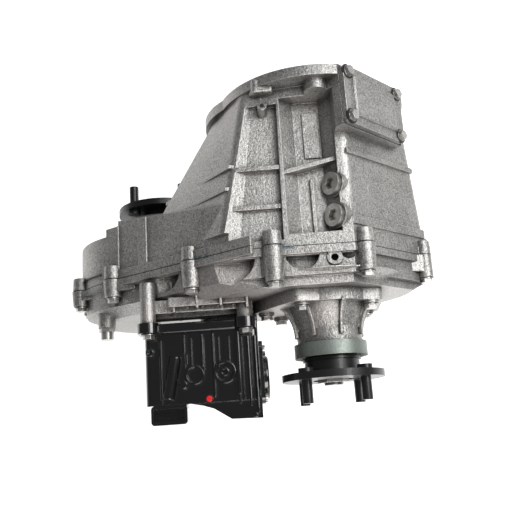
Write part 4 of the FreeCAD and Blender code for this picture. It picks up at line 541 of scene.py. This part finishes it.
# small holed tube at the front of the wide recess; a thin dark disc at its mouth is painted shade
# for the hole
tubeSettings = {"foot": (-0.0385, 0.0612, 0.072), "mouth": (-0.0335, 0.0612, 0.0905),
                "radius": 0.0056, "bevel": 0.0008,
                "boreRadius": 0.0026, "boreShare": 0.02, "boreProud": 0.0002}
foot, mouth = Vector(tubeSettings["foot"]), Vector(tubeSettings["mouth"])
tube = bmesh.new()
addRod(tube, foot, mouth, tubeSettings["radius"])
# a thin dark disc at the mouth paints the shade inside the hole
bore = bmesh.new()
addRod(bore, mouth - (mouth - foot) * tubeSettings["boreShare"],
       mouth + (mouth - foot).normalized() * tubeSettings["boreProud"], tubeSettings["boreRadius"])
makePiece("ventTube", tube, "cast_aluminium", tubeSettings["bevel"])
makePiece("ventBoreShade", bore, "seal_rubber")

# the raised bar of the actuator's plate
barSettings = {"front": -0.2632, "back": -0.2748, "bevel": 0.0025,
               "corners": [(0.0865, -0.012), (0.2225, -0.012), (0.2225, 0.0135), (0.0865, 0.0135)]}
bar = bmesh.new()
addBeam(bar, barSettings["corners"], barSettings["front"], barSettings["back"])
makePiece("plateBar", bar, "black_plastic", barSettings["bevel"])

# ribs, rings and knobs on the actuator's top
actuatorTop = 0.005
ribSettings = {"sunk": 0.002, "bevel": 0.0011, "ribs": [  # side, front, back, width, height
    (0.1985, -0.283, -0.352, 0.0035, 0.0045), (0.171, -0.277, -0.300, 0.003, 0.004),
    (0.1685, -0.30, -0.312, 0.003, 0.003), (0.150, -0.277, -0.316, 0.003, 0.0045),
    (0.1375, -0.277, -0.352, 0.003, 0.0035), (0.1085, -0.277, -0.350, 0.0045, 0.006),
    (0.0965, -0.283, -0.364, 0.003, 0.005), (0.0885, -0.283, -0.372, 0.003, 0.004)]}
ribs = bmesh.new()
for y, front, back, width, tall in ribSettings["ribs"]:
    addSlab(ribs, front, back, y - width / 2, y + width / 2, actuatorTop - ribSettings["sunk"],
            tall + ribSettings["sunk"])
makePiece("actuatorRibs", ribs, "black_plastic", ribSettings["bevel"])

ringSettings = {"sunk": 0.001, "steps": 40, "bevel": 0.0009, "rings": [
    # x, y, outer radius, inner radius, height
    (-0.3246, 0.160, 0.0112, 0.0086, 0.0042), (-0.3236, 0.125, 0.0132, 0.0095, 0.0050),
    (-0.3236, 0.125, 0.0052, 0.0024, 0.0065), (-0.2955, 0.2115, 0.0048, 0.0022, 0.0035)]}
rings = bmesh.new()
for x, y, outside, inside, tall in ringSettings["rings"]:
    base, peak = actuatorTop - ringSettings["sunk"], actuatorTop + tall
    section = [(inside, base), (outside, base), (outside, peak), (inside, peak)]
    loop = [rings.verts.new((x + reach, y, z)) for reach, z in section]
    edges = [rings.edges.new((loop[index - 1], loop[index])) for index in range(len(loop))]
    bmesh.ops.spin(rings, geom=loop + edges, cent=(x, y, 0.0), axis=(0.0, 0.0, 1.0),
                   angle=math.tau, steps=ringSettings["steps"], use_merge=True)
makePiece("actuatorRings", rings, "black_plastic", ringSettings["bevel"])

knobSettings = {"sunk": 0.002, "taper": 0.85, "bevel": 0.0014,
                "knobs": [(-0.335, 0.1735, 0.0058, 0.0045), (-0.3740, 0.092, 0.0035, 0.0025)],
                "barrelStart": (-0.3023, 0.1816, 0.0055), "barrelEnd": (-0.3509, 0.1916, 0.0055),
                "barrelRadius": 0.0072}
knobs = bmesh.new()
for x, y, radius, tall in knobSettings["knobs"]:
    addRod(knobs, (x, y, actuatorTop - knobSettings["sunk"]), (x, y, actuatorTop + tall),
           radius, radius * knobSettings["taper"])
addRod(knobs, knobSettings["barrelStart"], knobSettings["barrelEnd"], knobSettings["barrelRadius"])
makePiece("actuatorKnobs", knobs, "black_plastic", knobSettings["bevel"])

dotSettings = {"place": (-0.3527, 0.1445), "proud": 0.0002, "tall": 0.0022, "radius": 0.0040,
               "endRadius": 0.0034, "bevel": 0.0006}
# the deep red darkens the dot's corners as painted shade
dotPaint = {"light": (0.75, 0.02, 0.02), "wornAndHighlit": (0.8, 0.1, 0.1), "dark": (0.5, 0.01, 0.01),
            "scale": 400.0, "rough": 0.4, "smooth": 0.25, "metallic": 0.0, "bump": 0.1,
            "shadeAndSeamDark": (0.3, 0.01, 0.01)}
dot = bmesh.new()
x, y = dotSettings["place"]
addRod(dot, (x, y, actuatorTop + dotSettings["proud"]), (x, y, actuatorTop + dotSettings["tall"]),
       dotSettings["radius"], dotSettings["endRadius"])
makePiece("paintDot", dot, "black_plastic", dotSettings["bevel"],
          plainMaterial("dotPaint", dotPaint))
print("actuator details ready")

# a pale floor that glows a little, well below the part
floorSettings = {"reach": 6.0, "color": (0.96, 0.96, 0.96), "roughness": 0.9, "below": 0.22,
                 "glow": 0.66, "glowColor": (1.0, 1.0, 1.0, 1.0)}
reach = floorSettings["reach"]
height = low[2] - floorSettings["below"]
corners = [(-reach, -reach, height), (reach, -reach, height), (reach, reach, height),
           (-reach, reach, height)]
floorMesh = bpy.data.meshes.new("floor")
floorMesh.from_pydata(corners, [], [(0, 1, 2, 3)])
floor = bpy.data.objects.new("floor", floorMesh)
bpy.context.scene.collection.objects.link(floor)
material, tree, shader, place = openMaterial("paleFloor")
plug(tree, shader, color=floorSettings["color"], roughness=floorSettings["roughness"])
shader.inputs["Emission Color"].default_value = floorSettings["glowColor"]
shader.inputs["Emission Strength"].default_value = floorSettings["glow"]
floorMesh.materials.append(material)

# the camera looks down on the top, rolled a little
cameraSettings = {"place": (-0.3969, 0.0755, 0.8229), "pitch": 14.0, "roll": 4.0, "lens": 48.46,
                  "sensor": 36.0, "clipEnd": 50.0}
pitch = math.radians(cameraSettings["pitch"])
roll = math.radians(cameraSettings["roll"])
ahead = Vector((math.sin(pitch), 0.0, -math.cos(pitch)))
upward = Vector((math.cos(pitch), 0.0, math.sin(pitch)))
sideways = Vector((0.0, -1.0, 0.0))
up = upward * math.cos(roll) + sideways * math.sin(roll)
right = sideways * math.cos(roll) - upward * math.sin(roll)
lens = bpy.data.cameras.new("camera")
lens.lens = cameraSettings["lens"]
lens.sensor_width = cameraSettings["sensor"]
lens.clip_end = cameraSettings["clipEnd"]
camera = bpy.data.objects.new("camera", lens)
bpy.context.scene.collection.objects.link(camera)
turned = Matrix((right, up, -ahead)).transposed().to_4x4()
camera.matrix_world = Matrix.Translation(Vector(cameraSettings["place"])) @ turned
bpy.context.scene.camera = camera

# area lights aimed at the middle of the part
lightSettings = {
    "keyLight": {"place": (0.25, -0.95, 1.35), "size": (0.9, 0.9), "power": 21.0,
                 "color": (1.0, 1.0, 1.0)},
    "rearLight": {"place": (-1.5, -0.1, 0.35), "size": (1.0, 0.5), "power": 3.0,
                  "color": (1.0, 0.95, 0.93)},
    "warmLight": {"place": (-1.25, -0.20, 1.05), "size": (0.9, 0.7), "power": 12.5,
                  "color": (1.0, 0.955, 0.935)},
    "topLight": {"place": (0.45, -0.30, 1.7), "size": (0.8, 0.8), "power": 4.0,
                 "color": (1.0, 1.0, 1.0)},
}
middle = (Vector(low) + Vector(high)) / 2
for name, settings in lightSettings.items():
    lamp = bpy.data.lights.new(name, "AREA")
    lamp.shape = "RECTANGLE"
    lamp.size, lamp.size_y = settings["size"]
    lamp.energy = settings["power"]
    lamp.color = settings["color"]
    holder = bpy.data.objects.new(name, lamp)
    bpy.context.scene.collection.objects.link(holder)
    holder.location = settings["place"]
    toMiddle = middle - Vector(settings["place"])
    holder.rotation_euler = toMiddle.to_track_quat("-Z", "Y").to_euler()

worldSettings = {"color": (1.0, 1.0, 1.0, 1.0), "strength": 0.16}
world = bpy.data.worlds.new("studio")
world.use_nodes = True
background = next(node for node in world.node_tree.nodes if node.type == "BACKGROUND")
background.inputs["Color"].default_value = worldSettings["color"]
background.inputs["Strength"].default_value = worldSettings["strength"]
bpy.context.scene.world = world
bpy.context.scene.view_settings.view_transform = "Standard"
print("stage, camera and lights ready")
